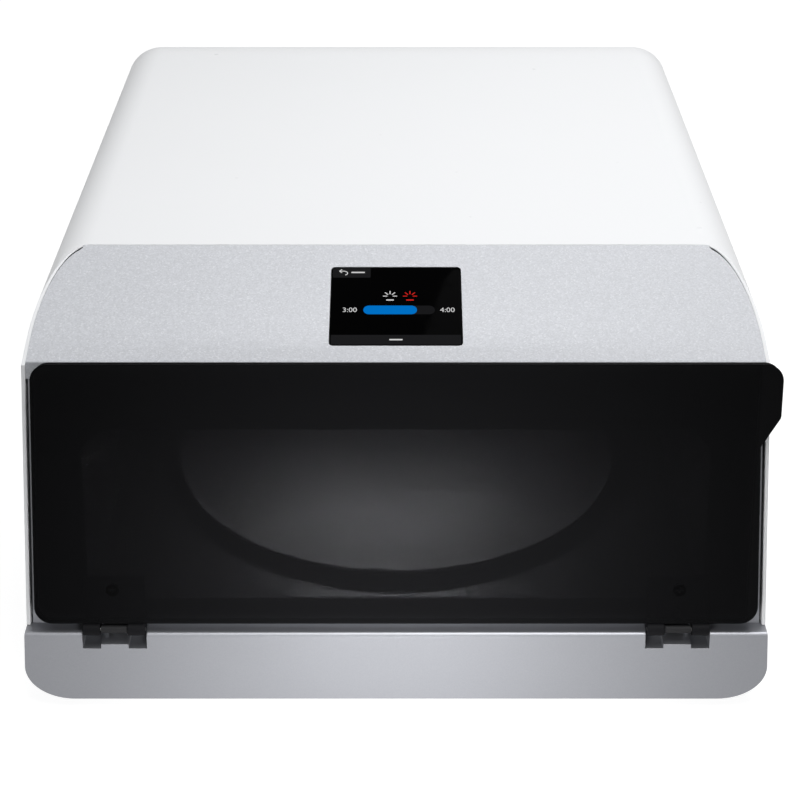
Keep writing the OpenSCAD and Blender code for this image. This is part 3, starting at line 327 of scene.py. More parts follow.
def bracket_paint_with_shade(tree):
    """The base's paint on the bracket's arm, with painted shade above it: where it holds the pin it
    is painted near black for the shade under the door's lower edge.
    """
    where = place(tree)
    axle = body_point(0, 0, sizes().base_h + sizes().hinge_rise)[2]
    # painted shade: 1 round the pin and above, where the door's lower edge shades the bracket, 0 on
    # the lit arm below
    pin_shade_mask = grey(axis(where, 2), axle - 0.0045, axle - 0.0025)
    grain = noise(where, 900.0, 2.0)
    tone = blend(pin_shade_mask, colours().base, (0.02, 0.02, 0.021))
    return dict(Base_Color=tone, Metallic=0.2, Roughness=grain.spread(0.46, 0.58),
                Specular_IOR_Level=0.1)


def smoked_acrylic(tree):
    """Smoked sheet: nearly black, letting a little light through, with faint wipes. Its tab is
    printed black on the back."""
    where = place(tree)
    wipe = noise(place(tree, turn=(0, 0.3, 0), stretch=(1, 1, 0.2)), 38.0, 4.0)
    tab = grey(axis(where, 0), sizes().body_w / 2 - 0.010, sizes().body_w / 2 - 0.004)
    marks = wipe * noise(where, 7.0)
    return dict(Base_Color=colours().acrylic, Roughness=marks.spread(0.40, 0.52), IOR=1.49,
                Specular_IOR_Level=0.03, Alpha=tab.spread(0.92, 1.0))


def polished_edge(tree):
    """Sawn and flame-polished edge of the smoked sheet: glossier than its faces, with the fine
    lines of the saw along it."""
    lines = noise(place(tree, stretch=(0.2, 1, 1)), 700.0, 2.0)
    return dict(Base_Color=colours().acrylic, Roughness=lines.spread(0.22, 0.34), IOR=1.49,
                Specular_IOR_Level=0.06)


def black_glass(tree):
    """Cover glass of the display: black, polished, a trace of finger marks in its roughness."""
    marks = grey(noise(place(tree), 90.0, 5.0), 0.55, 0.75)
    return dict(Base_Color=colours().glass, Roughness=marks.spread(0.05, 0.14), IOR=1.5,
                Specular_IOR_Level=0.004)


def lit(tone, strength=1.0):
    """A lit part of the display's picture, with its fine dots about 0.2 mm apart."""
    def paint(tree):
        where = place(tree)
        dots = axis(where, 0) * 31400.0
        shade = dots.math("SINE", dots).spread(0.985, 1.0)
        glow = blend(shade, (0.0, 0.0, 0.0), tone)
        return dict(Base_Color=(0.0, 0.0, 0.0), Roughness=0.4, Specular_IOR_Level=0.0,
                    Emission_Color=glow, Emission_Strength=strength)
    return paint


def moulded(tone, low=0.42, high=0.58, shine=0.5, grain_scale=1300.0, depth=0.00006):
    """Moulded plastic: a fine spark-eroded grain and slight changes of gloss."""
    def paint(tree):
        where = place(tree)
        grain = noise(where, grain_scale, 2.0)
        drift = noise(where, 30.0, 2.0)
        mixed = blend(drift, scaled(tone, 0.85), scaled(tone, 1.2))
        return dict(Base_Color=mixed, Roughness=drift.spread(low, high),
                    Specular_IOR_Level=shine, Normal=bumped(grain, 0.25, depth))
    return paint


def rubber(tree):
    """Rubber: dull, dusty in the hollows, with a fine skin."""
    where = place(tree)
    dust = noise(where, 120.0, 4.0)
    tone = blend(grey(dust, 0.45, 0.7), (0.016, 0.016, 0.016), (0.05, 0.048, 0.045))
    return dict(Base_Color=tone, Roughness=dust.spread(0.72, 0.9),
                Normal=bumped(noise(where, 1500.0, 2.0), 0.3, 0.00008))


def brushed(tone, direction=(1, 1, 1), low=0.24, high=0.38, metallic=1.0, scale=900.0):
    """Brushed metal: noise drawn out along the brushing changes its gloss and its height."""
    def paint(tree):
        where = place(tree, stretch=direction)
        lines = noise(where, scale, 3.0, 0.6)
        stain = noise(place(tree), 18.0, 3.0)
        mixed = blend((lines * 0.6 + stain * 0.4).clamped(), scaled(tone, 0.88),
                      scaled(tone, 1.08))
        return dict(Base_Color=mixed, Metallic=metallic, Roughness=lines.spread(low, high),
                    Normal=bumped(lines, 0.12, 0.00003))
    return paint


def turned_plate(centre):
    """Turned steel: rings about the turntable's axis, from noise of the distance to the axis."""
    def paint(tree):
        where = place(tree, centre=centre)
        x, y = axis(where, 0), axis(where, 1)
        radius = (x * x + y * y) ** 0.5
        rings = radius.node("ShaderNodeTexNoise", {"noise_dimensions": "1D"}, W=radius,
                            Scale=1500.0, Detail=3.0)
        mixed = blend(rings, (0.58, 0.58, 0.59), (0.76, 0.76, 0.77))
        return dict(Base_Color=mixed, Metallic=0.5, Roughness=rings.spread(0.42, 0.52),
                    Normal=bumped(rings, 0.15, 0.00003))
    return paint


def chamber_sheet(tree):
    """Rolled bright aluminium: long soft streaks from the mill and a few dull patches."""
    where = place(tree, stretch=(1, 0.06, 1))
    streaks = noise(where, 120.0, 3.0)
    dull = noise(place(tree), 12.0, 3.0)
    mixed = blend(streaks, scaled(colours().sheet, 0.93), colours().sheet)
    return dict(Base_Color=mixed, Metallic=0.85, Roughness=(dull * 0.5 + streaks * 0.5).spread(
        0.22, 0.42), Normal=bumped(streaks, 0.06, 0.00004))


def galvanised(tree):
    """Galvanised steel: crystals of zinc, each with its own shade and gloss."""
    where = place(tree)
    crystal = grains(where, 130.0)
    mixed = blend(crystal, (0.42, 0.43, 0.44), (0.60, 0.61, 0.62))
    return dict(Base_Color=mixed, Metallic=0.9, Roughness=crystal.spread(0.3, 0.5))


def circuit_board(tone, track):
    """Circuit board: copper tracks in rows under the solder resist, and small tinned pads."""
    def paint(tree):
        where = place(tree)
        lanes = cells(place(tree, stretch=(3.0, 1.0, 3.0)), 260.0, "DISTANCE_TO_EDGE", 0, 0.35)
        tracks = 1 - grey(lanes, 0.05, 0.09)
        pads = 1 - grey(cells(where, 330.0), 0.16, 0.20)
        mixed = blend(tracks, tone, track)
        mixed = blend(pads, mixed, (0.62, 0.62, 0.58))
        return dict(Base_Color=mixed, Roughness=pads.spread(0.34, 0.25), Metallic=pads * 0.8,
                    Normal=bumped(tracks, 0.3, 0.00004))
    return paint


def lamp_glass(tree):
    """Clear glass over the lamps, with a slight frost in its roughness."""
    frost = noise(place(tree), 700.0)
    return dict(Base_Color=(0.80, 0.86, 0.92), Roughness=frost.spread(0.04, 0.12), IOR=1.5,
                Alpha=0.3)


def emitter(tree):
    """Light emitter: a yellow lens with a mottled tone, faintly lit."""
    spots = noise(place(tree), 500.0, 2.0)
    mixed = blend(spots, (0.62, 0.52, 0.16), (0.85, 0.76, 0.34))
    return dict(Base_Color=mixed, Roughness=spots.spread(0.18, 0.3),
                Emission_Color=(0.75, 0.8, 1.0), Emission_Strength=0.6)


def sintered(tree):
    """Sintered bronze: grains with pores between them, dark with oil."""
    where = place(tree)
    pores = grey(cells(where, 2600.0), 0.15, 0.45)
    mixed = blend(pores, (0.16, 0.09, 0.03), (0.60, 0.38, 0.16))
    return dict(Base_Color=mixed, Metallic=0.9, Roughness=pores.spread(0.6, 0.4),
                Normal=bumped(pores, 0.3, 0.00005))


def finishes():
    """All materials by the record's slot, made once."""
    if finishes.made:
        return finishes.made
    c = colours()
    steel = c.steel
    centre = body_point(0, sizes().plate_y, 0.056)
    kinds = {
        "white_paint": white_paint,
        "console_paint": console_paint,
        "base_paint": metallic_paint(c.base, 0.30, 0.38, 0.65),
        "frame_paint": metallic_paint(c.base, 0.42, 0.52, 0.35),
        "rear_paint": metallic_paint(c.panel, 0.42, 0.54, 0.15),
        "black_glass": black_glass,
        "door_acrylic": smoked_acrylic,
        "black_plastic": moulded(c.plastic, shine=0.06),
        "dark_plastic": moulded((0.06, 0.06, 0.064)),
        "black_steel": moulded((0.003, 0.003, 0.003), 0.5, 0.62, 0.05),
        "bright_steel": brushed(steel, direction=(1, 1, 0.3)),
        "bright_sheet": chamber_sheet,
        "plate_steel": turned_plate(centre),
        "sink_aluminium": brushed((0.66, 0.67, 0.68), direction=(1, 0.05, 1), low=0.3, high=0.45),
        "supply_steel": galvanised,
        "bronze": sintered,
        "lamp_glass": lamp_glass,
        "board_green": circuit_board((0.012, 0.12, 0.045), (0.03, 0.22, 0.09)),
        "board_white": circuit_board((0.80, 0.80, 0.78), (0.70, 0.70, 0.68)),
        "emitter": emitter,
        "component": moulded((0.045, 0.045, 0.05), 0.35, 0.5),
        "rubber": rubber,
    }
    for slot, paint in kinds.items():
        finishes.made[slot] = material(slot, paint)
    return finishes.made


finishes.made = {}


# PLACES AND OUTLINES

def origin():
    """Place of the casing's own y = 0, z = 0 in the frame, from the base tray's front foot."""
    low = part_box("base_tray")[0]
    s = sizes()
    return np.array([0.0, low.y + s.ledge_out / math.cos(s.lean), low.z])


def body_point(x, y, z):
    return tuple(origin() + np.array([x, y, z]))


def front_plane(n, z):
    """Y of the plane n in front of the front frame's face, at height z."""
    return z * math.tan(sizes().lean) - n / math.cos(sizes().lean)


def on_front(points):
    """(x, n, u) on the leaning front to casing places: n runs out of the face, u up it."""
    lean = sizes().lean
    x, n, u = np.moveaxis(np.asarray(points, float), -1, 0)
    return np.stack([x, u * math.sin(lean) - n * math.cos(lean),
                     u * math.cos(lean) + n * math.sin(lean)], -1)


def on_console(points):
    """(x, v, h) on the slope to casing places: v runs up the slope, h stands out of it."""
    s = sizes()
    x, v, h = np.moveaxis(np.asarray(points, float), -1, 0)
    return np.stack([x, console_y() + v * math.cos(s.slope) - h * math.sin(s.slope),
                     s.front_h + v * math.sin(s.slope) + h * math.cos(s.slope)], -1)


def console_y():
    return sizes().front_h * math.tan(sizes().lean)


def top_y():
    return console_y() + sizes().console_len * math.cos(sizes().slope)


def top_z():
    return sizes().front_h + sizes().console_len * math.sin(sizes().slope)


def rear_y():
    return top_y() + sizes().top_len


def half_width(z):
    s = sizes()
    return s.body_w / 2 + (s.front_h - z) * math.tan(s.draft)


def corner_centre():
    """x and z of the centre of a top corner's arc."""
    s = sizes()
    z = top_z() - s.corner_r
    return half_width(z) - s.corner_r / math.cos(s.draft), z


def hinge_place():
    """n and u of the hinge axis on the leaning front."""
    s = sizes()
    n = s.door_gap + s.door_t
    return n, (s.base_h + s.hinge_rise - n * math.sin(s.lean)) / math.cos(s.lean)


def rounded(points, radii, steps=10):
    """Closed outline with each corner replaced by an arc that touches both its sides."""
    points = np.asarray(points, float)
    out = []
    for i, (p, r) in enumerate(zip(points, radii)):
        a, b = points[i - 1] - p, points[(i + 1) % len(points)] - p
        a, b = a / np.linalg.norm(a), b / np.linalg.norm(b)
        if r == 0:
            out.append(p[None])
            continue
        half = math.acos(np.clip(a @ b, -1, 1)) / 2
        centre = p + (a + b) / np.linalg.norm(a + b) * r / math.sin(half)
        first = p + a * r / math.tan(half) - centre
        last = p + b * r / math.tan(half) - centre
        start = math.atan2(first[1], first[0])
        turn = (math.atan2(last[1], last[0]) - start + math.pi) % (2 * math.pi) - math.pi
        t = start + turn * np.linspace(0, 1, steps + 1)
        out.append(centre + r * np.stack([np.cos(t), np.sin(t)], -1))
    return np.concatenate(out)


def inset(outline, distance):
    """Closed outline moved inwards: each point goes along the mitre of its two sides' normals."""
    side = np.roll(outline, -1, 0) - outline
    side /= np.linalg.norm(side, axis=1, keepdims=True)
    normal = np.stack([-side[:, 1], side[:, 0]], -1)
    before = np.roll(normal, 1, 0)
    mitre = (normal + before) / (1 + (normal * before).sum(1, keepdims=True))
    area = (outline[:, 0] * np.roll(outline[:, 1], -1) - np.roll(outline[:, 0], -1)
            * outline[:, 1]).sum()
    return outline + mitre * distance * np.sign(area)


def quarter(radius, steps=5):
    """Quarter round as (inset, depth), from the face at depth 0 to the side at inset 0."""
    t = np.linspace(0, math.pi / 2, steps + 1)
    return radius * (1 - np.sin(t)), radius * (1 - np.cos(t))


# MESHES

def grid_faces(rows, cols, wrap_rows=False, wrap_cols=False, start=0):
    """Faces of a grid: each joins a point with its next in the row, the row and both."""
    r = np.arange(rows if wrap_rows else rows - 1)[:, None]
    c = np.arange(cols if wrap_cols else cols - 1)[None, :]
    r2, c2 = (r + 1) % rows, (c + 1) % cols
    quads = np.stack([r * cols + c, r * cols + c2, r2 * cols + c2, r2 * cols + c], -1)
    return (quads.reshape(-1, 4) + start).tolist()


def loft(points, wrap_rows=False, wrap_cols=True, caps=True):
    """Points and faces of a surface whose rows are loops; caps close the first and last loop."""
    rows, cols = points.shape[:2]
    faces = grid_faces(rows, cols, wrap_rows, wrap_cols)
    if caps and wrap_cols and not wrap_rows:
        faces.append(list(range(cols))[::-1])
        faces.append([(rows - 1) * cols + c for c in range(cols)])
    return points.reshape(-1, 3), faces


def joined(*parts):
    """Several (points, faces) as one."""
    points, faces, start = [], [], 0
    for p, f in parts:
        points.append(np.asarray(p))
        faces += [[i + start for i in face] for face in f]
        start += len(p)
    return np.concatenate(points), faces


def slab(outline, to_place, n0, n1, r0=0.0, r1=0.0):
    """Plate of an outline from depth n0 to n1, its two edges rounded: each loop is the outline
    inset by a quarter circle, at that circle's depth."""
    rings = []
    if r0:
        rings += list(zip(quarter(r0)[0], n0 + quarter(r0)[1]))
    else:
        rings.append((0.0, n0))
    if r1:
        rings += list(zip(quarter(r1)[0], n1 - quarter(r1)[1]))[::-1]
    else:
        rings.append((0.0, n1))
    loops = []
    for inward, n in rings:
        loop = inset(outline, inward) if inward else outline
        loops.append(to_place(np.stack([loop[:, 0], np.full(len(loop), n), loop[:, 1]], -1)))
    return loft(np.stack(loops))


def revolve(profile, centre, along="z", steps=96, closed=True):
    """Profile of (radius, height) carried round an axis through centre."""
    t = np.linspace(0, 2 * math.pi, steps, endpoint=False)[:, None]
    r, h = np.asarray(profile, float).T
    a, b, c = r * np.cos(t), r * np.sin(t), np.broadcast_to(h, (steps, len(r)))
    order = {"z": (a, b, c), "y": (a, c, -b)}[along]
    return loft(np.stack(order, -1) + np.asarray(centre), wrap_rows=True, wrap_cols=closed)


def tube(path, radius, steps=10, closed=False):
    """Round wire along a path: a circle in the plane of two normals carried along it."""
    path = np.asarray(path, float)
    ahead = np.roll(path, -1, 0) - np.roll(path, 1, 0) if closed else np.gradient(path, axis=0)
    ahead /= np.linalg.norm(ahead, axis=1, keepdims=True)
    up = np.cross(ahead, [0.0, 1.0, 0.0])
    up /= np.linalg.norm(up, axis=1, keepdims=True)
    side = np.cross(ahead, up)
    t = np.linspace(0, 2 * math.pi, steps, endpoint=False)
    ring = np.cos(t)[None, :, None] * up[:, None] + np.sin(t)[None, :, None] * side[:, None]
    return loft(path[:, None] + radius * ring, wrap_rows=closed)


def tidy(mesh, outward=True, sharp=30.0):
    """Merges doubles, turns the faces outward and smooths all but the sharp edges."""
    bm = bmesh.new()
    bm.from_mesh(mesh)
    bmesh.ops.remove_doubles(bm, verts=bm.verts, dist=2e-6)
    bmesh.ops.dissolve_degenerate(bm, edges=bm.edges, dist=1e-7)
    if outward:
        bmesh.ops.recalc_face_normals(bm, faces=bm.faces)
    bm.to_mesh(mesh)
    bm.free()
    mesh.shade_smooth()
    mesh.set_sharp_from_angle(angle=math.radians(sharp))


def bevel(obj, width, segments=2, limit=32.0):
    """Rounds the edges that are sharper than the limit, then keeps the flats flat."""
    mod = obj.modifiers.new("edge", "BEVEL")
    mod.width, mod.segments = width, segments
    mod.limit_method, mod.angle_limit = "ANGLE", math.radians(limit)
    mod.use_clamp_overlap = False
    mod.miter_outer = "MITER_ARC"
    flat = obj.modifiers.new("flats", "WEIGHTED_NORMAL")
    flat.keep_sharp = True
    return obj


def piece(name, body, slot, shape, *nodes, outward=True, sharp=30.0, finish=None):
    """New object in the frame from casing points and faces, riding on a body and standing for
    CAD nodes."""
    points, faces = shape
    mesh = bpy.data.meshes.new(name)
    mesh.from_pydata((np.asarray(points) + origin()).tolist(), [], faces)
    mesh.validate()
    tidy(mesh, outward, sharp)
    return settle(name, mesh, body, slot, finish, *nodes)


def settle(name, mesh, body, slot, finish, *nodes):
    obj = bpy.data.objects.new(name, mesh)
    bpy.context.scene.collection.objects.link(obj)
    mesh.materials.append(finish or finishes()[slot])
    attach(obj, body)
    if nodes:
        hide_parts(*nodes)
    return obj


def softened(node, width, segments=2, limit=32.0, suffix="_edged"):
    """A CAD node's own shape with merged faces and rounded edges, standing for the node."""
    source = frame["nodes"][node]
    mesh = source.data.copy()
    mesh.materials.clear()
    bm = bmesh.new()
    bm.from_mesh(mesh)
    bmesh.ops.remove_doubles(bm, verts=bm.verts, dist=5e-6)
    bmesh.ops.dissolve_limit(bm, angle_limit=math.radians(0.6), verts=bm.verts, edges=bm.edges)
    bm.to_mesh(mesh)
    bm.free()
    for name in [a.name for a in mesh.attributes if a.name in ("custom_normal", "sharp_edge")]:
        mesh.attributes.remove(mesh.attributes[name])
    mesh.shade_smooth()
    mesh.set_sharp_from_angle(angle=math.radians(limit))
    obj = settle(node + suffix, mesh, source["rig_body"], slot_of(node), None, node)
    return bevel(obj, width, segments, limit)


def slot_of(node):
    for row in frame["record"]["subparts"]:
        if row["node"] == node:
            return row["material_slot"]
    raise RuntimeError(f"the record has no slot for {node}")


def coat(*nodes):
    """Gives CAD nodes that keep their own mesh the finish of their slot."""
    for node in nodes:
        mesh = frame["nodes"][node].data
        if not mesh.materials:
            mesh.materials.append(None)
        for i in range(len(mesh.materials)):
            mesh.materials[i] = finishes()[slot_of(node)]


# THE CASING

STEEP = math.radians(80)   # place on a top corner's arc where the console's edge runs out
FLANGE_LEN = 0.012         # reach of the cover's back flange
FLANGE_T = 0.0016          # thickness of that flange
PANEL_IN = 0.004           # how far the rear panel lies inside the cover's back edge
LIP_R = 0.00015            # rounding of the cover's front edge
BACK_R = 0.0004            # rounding of the cover's back edge

def cover_shape():
    """The cover is its wall's own outline carried round the cross-section.

    The section goes up one side, round the corner arc by its angle and across the top. The
    wall's outline at each place is (share of the wall, y): along the outside to the back, in by
    the back flange, forward along the inside and round the rim. Its front follows the lean of
    the front below the console line, the slope of the console up to 80 degrees of the corner,
    and the top's front edge beyond.
    """
    s = sizes()
    cx, cz = corner_centre()
    low = s.base_h + s.gap
    edge_z = s.front_h - s.rim_out * math.sin(s.slope) / math.cos(s.slope + s.lean)
    arc_z = cz + s.corner_r * math.sin(s.draft)
    side_z = np.concatenate([np.linspace(low, edge_z, 16), [arc_z]])[:-1]
    side_z = np.append(side_z, edge_z) if side_z[-1] != edge_z else side_z
    first = np.linspace(s.draft, STEEP, 28)
    second = np.linspace(STEEP, math.pi / 2, 5)
    top_x = np.linspace(cx, 0, 12)[1:]
    turn = np.concatenate([np.full(len(side_z), s.draft), first, second,
                           np.full(len(top_x), math.pi / 2)])
    x = np.concatenate([half_width(side_z), cx + s.corner_r * np.cos(first),
                        cx + s.corner_r * np.cos(second), top_x])
    z = np.concatenate([side_z, cz + s.corner_r * np.sin(first),
                        cz + s.corner_r * np.sin(second), np.full(len(top_x), top_z())])
    open_part = np.arange(len(x)) < len(side_z) + len(first)
    line = np.where(z <= edge_z, front_plane(s.rim_out, z),
                    console_y() + (z - s.front_h) / math.tan(s.slope))
    front = np.where(open_part, line, top_y())
    rim_z = np.where(open_part & (turn > s.draft), s.rim_t, s.wall)
    x, z, turn, front, rim_z = (np.concatenate([a, m * a[-2::-1]]) for a, m in (
        (x, -1), (z, 1), (turn, 1), (front, 1), (rim_z, 1)))
    across = np.sign(x) * np.cos(turn)
    flange, back = s.wall + FLANGE_LEN, rear_y()
    panel_y = back - PANEL_IN
    r, e = LIP_R, BACK_R
    rows = []

    def row(share_x, share_z, y):
        rows.append(np.stack([x - across * share_x, y, z - np.sin(turn) * share_z], -1))

    t = np.linspace(0, math.pi / 2, 5)
    round_in, round_out = 0.35 * (1 - np.cos(t)), 1 - np.sin(t)
    for share, out in zip(round_in[::-1], round_out[::-1]):
        row(share * s.wall, share * rim_z, front + r * out)
    for y in np.linspace(top_y() + 0.004, back - e, 14):
        row(0.0, 0.0, np.full_like(x, y))
    for share, out in zip(round_in, round_out):
        row(share * s.wall, share * s.wall, np.full_like(x, back - e * out))
    for depth, y in ((s.wall, back), (s.wall, panel_y), (flange, panel_y),
                     (flange, panel_y - FLANGE_T), (s.wall, panel_y - FLANGE_T)):
        row(depth, depth, np.full_like(x, y))
    step = np.maximum(top_y(), front + r)
    row(s.wall, s.wall, step)
    row(s.wall, rim_z, step)
    for share, out in zip(1 - round_in, round_out):
        row(share * s.wall, share * rim_z, front + r * out)
    return loft(np.stack(rows, 1))


def console_half(z):
    """Half the console's width at height z: inside the cover's wall, then round its corner on an
    ellipse, straight up past 80 degrees."""
    s = sizes()
    cx, cz = corner_centre()
    a, b = s.corner_r - s.wall - s.seam, s.corner_r - s.rim_t - s.seam
    share = np.clip((z - cz) / b, math.sin(s.draft), math.sin(STEEP))
    arc = cx + a * np.sqrt(1 - share ** 2)
    side = half_width(z) - (s.wall + s.seam) / math.cos(s.draft)
    return np.where(z < cz + b * math.sin(s.draft), np.minimum(side, half_width(z)), arc)


def console_shape():
    """The console is a sheet: rings blend from the display's opening out to the edge of the
    slope, and rows run from the slope's lower edge round the bend and down the return."""
    s = sizes()
    turn = math.pi / 2 - s.lean - s.slope
    reach = s.console_bend * math.tan(turn / 2)
    end = (top_y() - s.gap - console_y()) / math.cos(s.slope)
    count = 48
    share = np.linspace(0, 1, count, endpoint=False)
    v = reach + (end - reach) * share

    def width(up):
        return console_half(s.front_h + up * math.sin(s.slope))

    low_w, high_w = width(reach), width(end)
    outer = np.concatenate([
        np.stack([low_w * (2 * share - 1), np.full(count, reach)], -1),
        np.stack([width(v), v], -1),
        np.stack([high_w * (1 - 2 * share), np.full(count, end)], -1),
        np.stack([-width(end - (v - reach)), end - (v - reach)], -1)])
    w, low, high = s.glass_w / 2 + s.gap, s.glass_low - s.gap, s.glass_low + s.glass_h + s.gap
    window = rounded([(-w, low), (w, low), (w, high), (-w, high)], [0.002 + s.gap] * 4, 16)
    window = np.roll(window, -8, 0)
    along = np.concatenate([[0], np.cumsum(np.linalg.norm(np.diff(
        np.concatenate([window, window[:1]]), axis=0), axis=1))])
    marks = np.array([0, 17, 34, 51, 68])
    at = np.concatenate([np.linspace(along[a], along[b], count, endpoint=False)
                         for a, b in zip(marks[:-1], marks[1:])])
    closed = np.concatenate([window, window[:1]])
    inner = np.stack([np.interp(at, along, closed[:, 0]), np.interp(at, along, closed[:, 1])], -1)
    mix = np.linspace(0, 1, 6)[:, None, None]
    flat = inner[None] * (1 - mix) + outer[None] * mix
    slope = on_console(np.concatenate([flat, np.zeros((*flat.shape[:2], 1))], -1))
    t = np.linspace(0, turn, 9)
    centre = on_console([[0, reach, -s.console_bend]])[0]
    arc_y = centre[1] + s.console_bend * np.sin(-t - s.slope)
    arc_z = centre[2] + s.console_bend * np.cos(-t - s.slope)
    down = np.linspace(0, s.return_len - reach, 5)[1:]
    y = np.concatenate([arc_y, arc_y[-1] - down * math.sin(s.lean)])
    z = np.concatenate([arc_z, arc_z[-1] - down * math.cos(s.lean)])
    h = np.append(2 * share - 1, 1.0)
    strip = np.stack([console_half(z)[:, None] * h, np.broadcast_to(y[:, None], (len(y), len(h))),
                      np.broadcast_to(z[:, None], (len(y), len(h)))], -1)
    return joined(loft(slope, caps=False), loft(strip, wrap_cols=False))


class CURING_OT_cover(bpy.types.Operator):
    """White cover over the top and sides"""
    bl_idname = "curing.cover"
    bl_label = "Cover"

    def execute(self, context):
        piece("white_cover", "casing", "white_paint", cover_shape(), "upper_cover", sharp=34)
        return {"FINISHED"}


class CURING_OT_console(bpy.types.Operator):
    """Sloping console panel with its bent-down return"""
    bl_idname = "curing.console"
    bl_label = "Console"

    def execute(self, context):
        obj = piece("console_sheet", "casing", "console_paint", console_shape(), "console_panel",
                    outward=False)
        if sum(face.normal.z * face.area for face in obj.data.polygons) < 0:
            obj.data.flip_normals()
        wall = obj.modifiers.new("sheet", "SOLIDIFY")
        wall.thickness, wall.offset, wall.use_even_offset = 0.002, -1.0, True
        bevel(obj, 0.0001, 2, 50)
        return {"FINISHED"}


class CURING_OT_display(bpy.types.Operator):
    """Display glass with its lit picture"""
    bl_idname = "curing.display"
    bl_label = "Display"

    def execute(self, context):
        s = sizes()
        w = s.glass_w / 2
        outline = rounded([(-w, s.glass_low), (w, s.glass_low), (w, s.glass_low + s.glass_h),
                           (-w, s.glass_low + s.glass_h)], [0.002] * 4)

        def raised(points):
            return on_console(points[..., [0, 2, 1]] * [1, 1, -1])

        glass = slab(outline, raised, 0.0, s.glass_t, 0.0003, 0.0)
        piece("display_cover_glass", "casing", "black_glass", glass, "display_glass")
        self.picture()
        coat("display_module", "display_board", "display_studs")
        return {"FINISHED"}

    def picture(self):
        """Flat shapes just above the glass: a bar, two lamp marks, plain figures and two plain
        buttons. Places are millimetres across the glass and up the slope."""
        tones = {"button": (0.012, 0.012, 0.013), "track": (0.010, 0.010, 0.011),
                 "bar": tuple(colours().bar), "mark": tuple(colours().mark),
                 "figure": (0.66, 0.66, 0.66)}
        shapes = {name: [] for name in tones}

        def flat(kind, outline, level=1):
            height = np.full((len(outline), 1), level * 0.00002)
            points = on_console(np.concatenate([np.asarray(outline) / 1000, height], -1))
            shapes[kind].append((points, [list(range(len(outline)))]))

        def bar(kind, x0, x1, y0, y1, r, level=1):
            flat(kind, rounded([(x0, y0), (x1, y0), (x1, y1), (x0, y1)], [r] * 4, 8), level)

        def stroke(kind, x0, y0, x1, y1, width, level=2):
            a, b = np.array([x0, y0]), np.array([x1, y1])
            side = np.array([a[1] - b[1], b[0] - a[0]]) / np.linalg.norm(b - a) * width / 2
            flat(kind, [a - side, b - side, b + side, a + side], level)

        bar("button", -35.3, -14.2, 62.9, 70.6, 0.6)
        bar("button", -35.3, 35.3, 12.5, 19.6, 0.6)
        bar("track", -17.9, 21.3, 34.9, 41.4, 3.2)
        bar("bar", -17.9, 11.5, 34.9, 41.4, 3.2, 2)
        for kind, centre in (("figure", -3.3), ("mark", 7.7)):
            for i in range(5):
                a = math.pi * i / 4
                dx, dy = math.cos(a), math.sin(a)
                stroke(kind, centre + 1.5 * dx, 48.6 + 1.5 * dy, centre + 3.9 * dx,
                       48.6 + 3.9 * dy, 0.6)
            bar(kind, centre - 2.1, centre + 2.1, 45.2, 46.1, 0.3, 2)
        stroke("figure", -31.6, 67.9, -28.4, 67.9, 0.55)
        stroke("figure", -31.6, 67.9, -30.2, 69.2, 0.55)
        stroke("figure", -31.6, 67.9, -30.2, 66.6, 0.55)
        arc = np.linspace(-math.pi / 2, math.pi / 2, 12)
        rim = np.stack([-28.4 + 1.6 * np.cos(arc), 66.6 + 1.6 * np.sin(arc) - 0.3], -1)
        core = np.stack([-28.4 + 1.05 * np.cos(arc), 66.6 + 1.05 * np.sin(arc) - 0.3], -1)
        flat("figure", np.concatenate([rim, core[::-1]]), 2)
        bar("figure", -25.0, -17.4, 66.4, 67.4, 0.4, 2)
        bar("figure", -3.6, 3.6, 15.6, 16.6, 0.4, 2)
        for i, (kind, tone) in enumerate(tones.items()):
            obj = piece("display_" + kind, "casing", "black_glass", joined(*shapes[kind]),
                        outward=False, finish=material("display_" + kind, lit(tone)))
            if obj.data.polygons[0].normal.z < 0:
                obj.data.flip_normals()
        self.figures("display_time", "3:00", -25.4, 36.6, 3.5)
        self.figures("display_total", "4:00", 28.2, 36.6, 3.5)

    def figures(self, name, text, x, y, height):
        """Plain figures as a flat mesh, put on the slope."""
        curve = bpy.data.curves.new(name, "FONT")
        curve.body, curve.size, curve.align_x = text, height * 1.36 / 1000, "CENTER"
        holder = bpy.data.objects.new(name, curve)
        bpy.context.scene.collection.objects.link(holder)
        bpy.context.view_layer.update()
        mesh = bpy.data.meshes.new_from_object(holder)
        bpy.data.objects.remove(holder)
        start = Vector(body_point(*on_console([[x / 1000, y / 1000, 0.00004]])[0]))
        mesh.transform(Matrix.Translation(start) @ Matrix.Rotation(sizes().slope, 4, "X"))
        mesh.materials.clear()
        settle(name, mesh, "casing", "black_glass", bpy.data.materials["display_figure"])


class CURING_OT_front(bpy.types.Operator):
    """Front frame round the chamber mouth with its lintel screws"""
    bl_idname = "curing.front"
    bl_label = "Front frame"

    def execute(self, context):
        softened("front_frame", 0.0003)
        softened("lintel_screws", 0.00012, 1)
        coat("door_sensor")
        return {"FINISHED"}


# THE DOOR

def door_outline():
    """Door seen from the front: sides inside the casing's drafted sides, with the finger tab at
    the upper right."""
    s = sizes()
    low = hinge_place()[1] + s.door_lift
    high = s.front_h / math.cos(s.lean)
    tab_x, tab_low = s.body_w / 2 + s.tab_out, high - s.tab_len

    def half(u):
        return half_width(u * math.cos(s.lean)) - s.door_margin

    return rounded([(-half(low), low), (half(low), low),
                    (half(tab_low - s.tab_slant), tab_low - s.tab_slant), (tab_x, tab_low),
                    (tab_x, high), (-half(high), high)],
                   [s.door_r, s.door_r, 0.002, 0.004, s.door_r, s.door_r], 12)


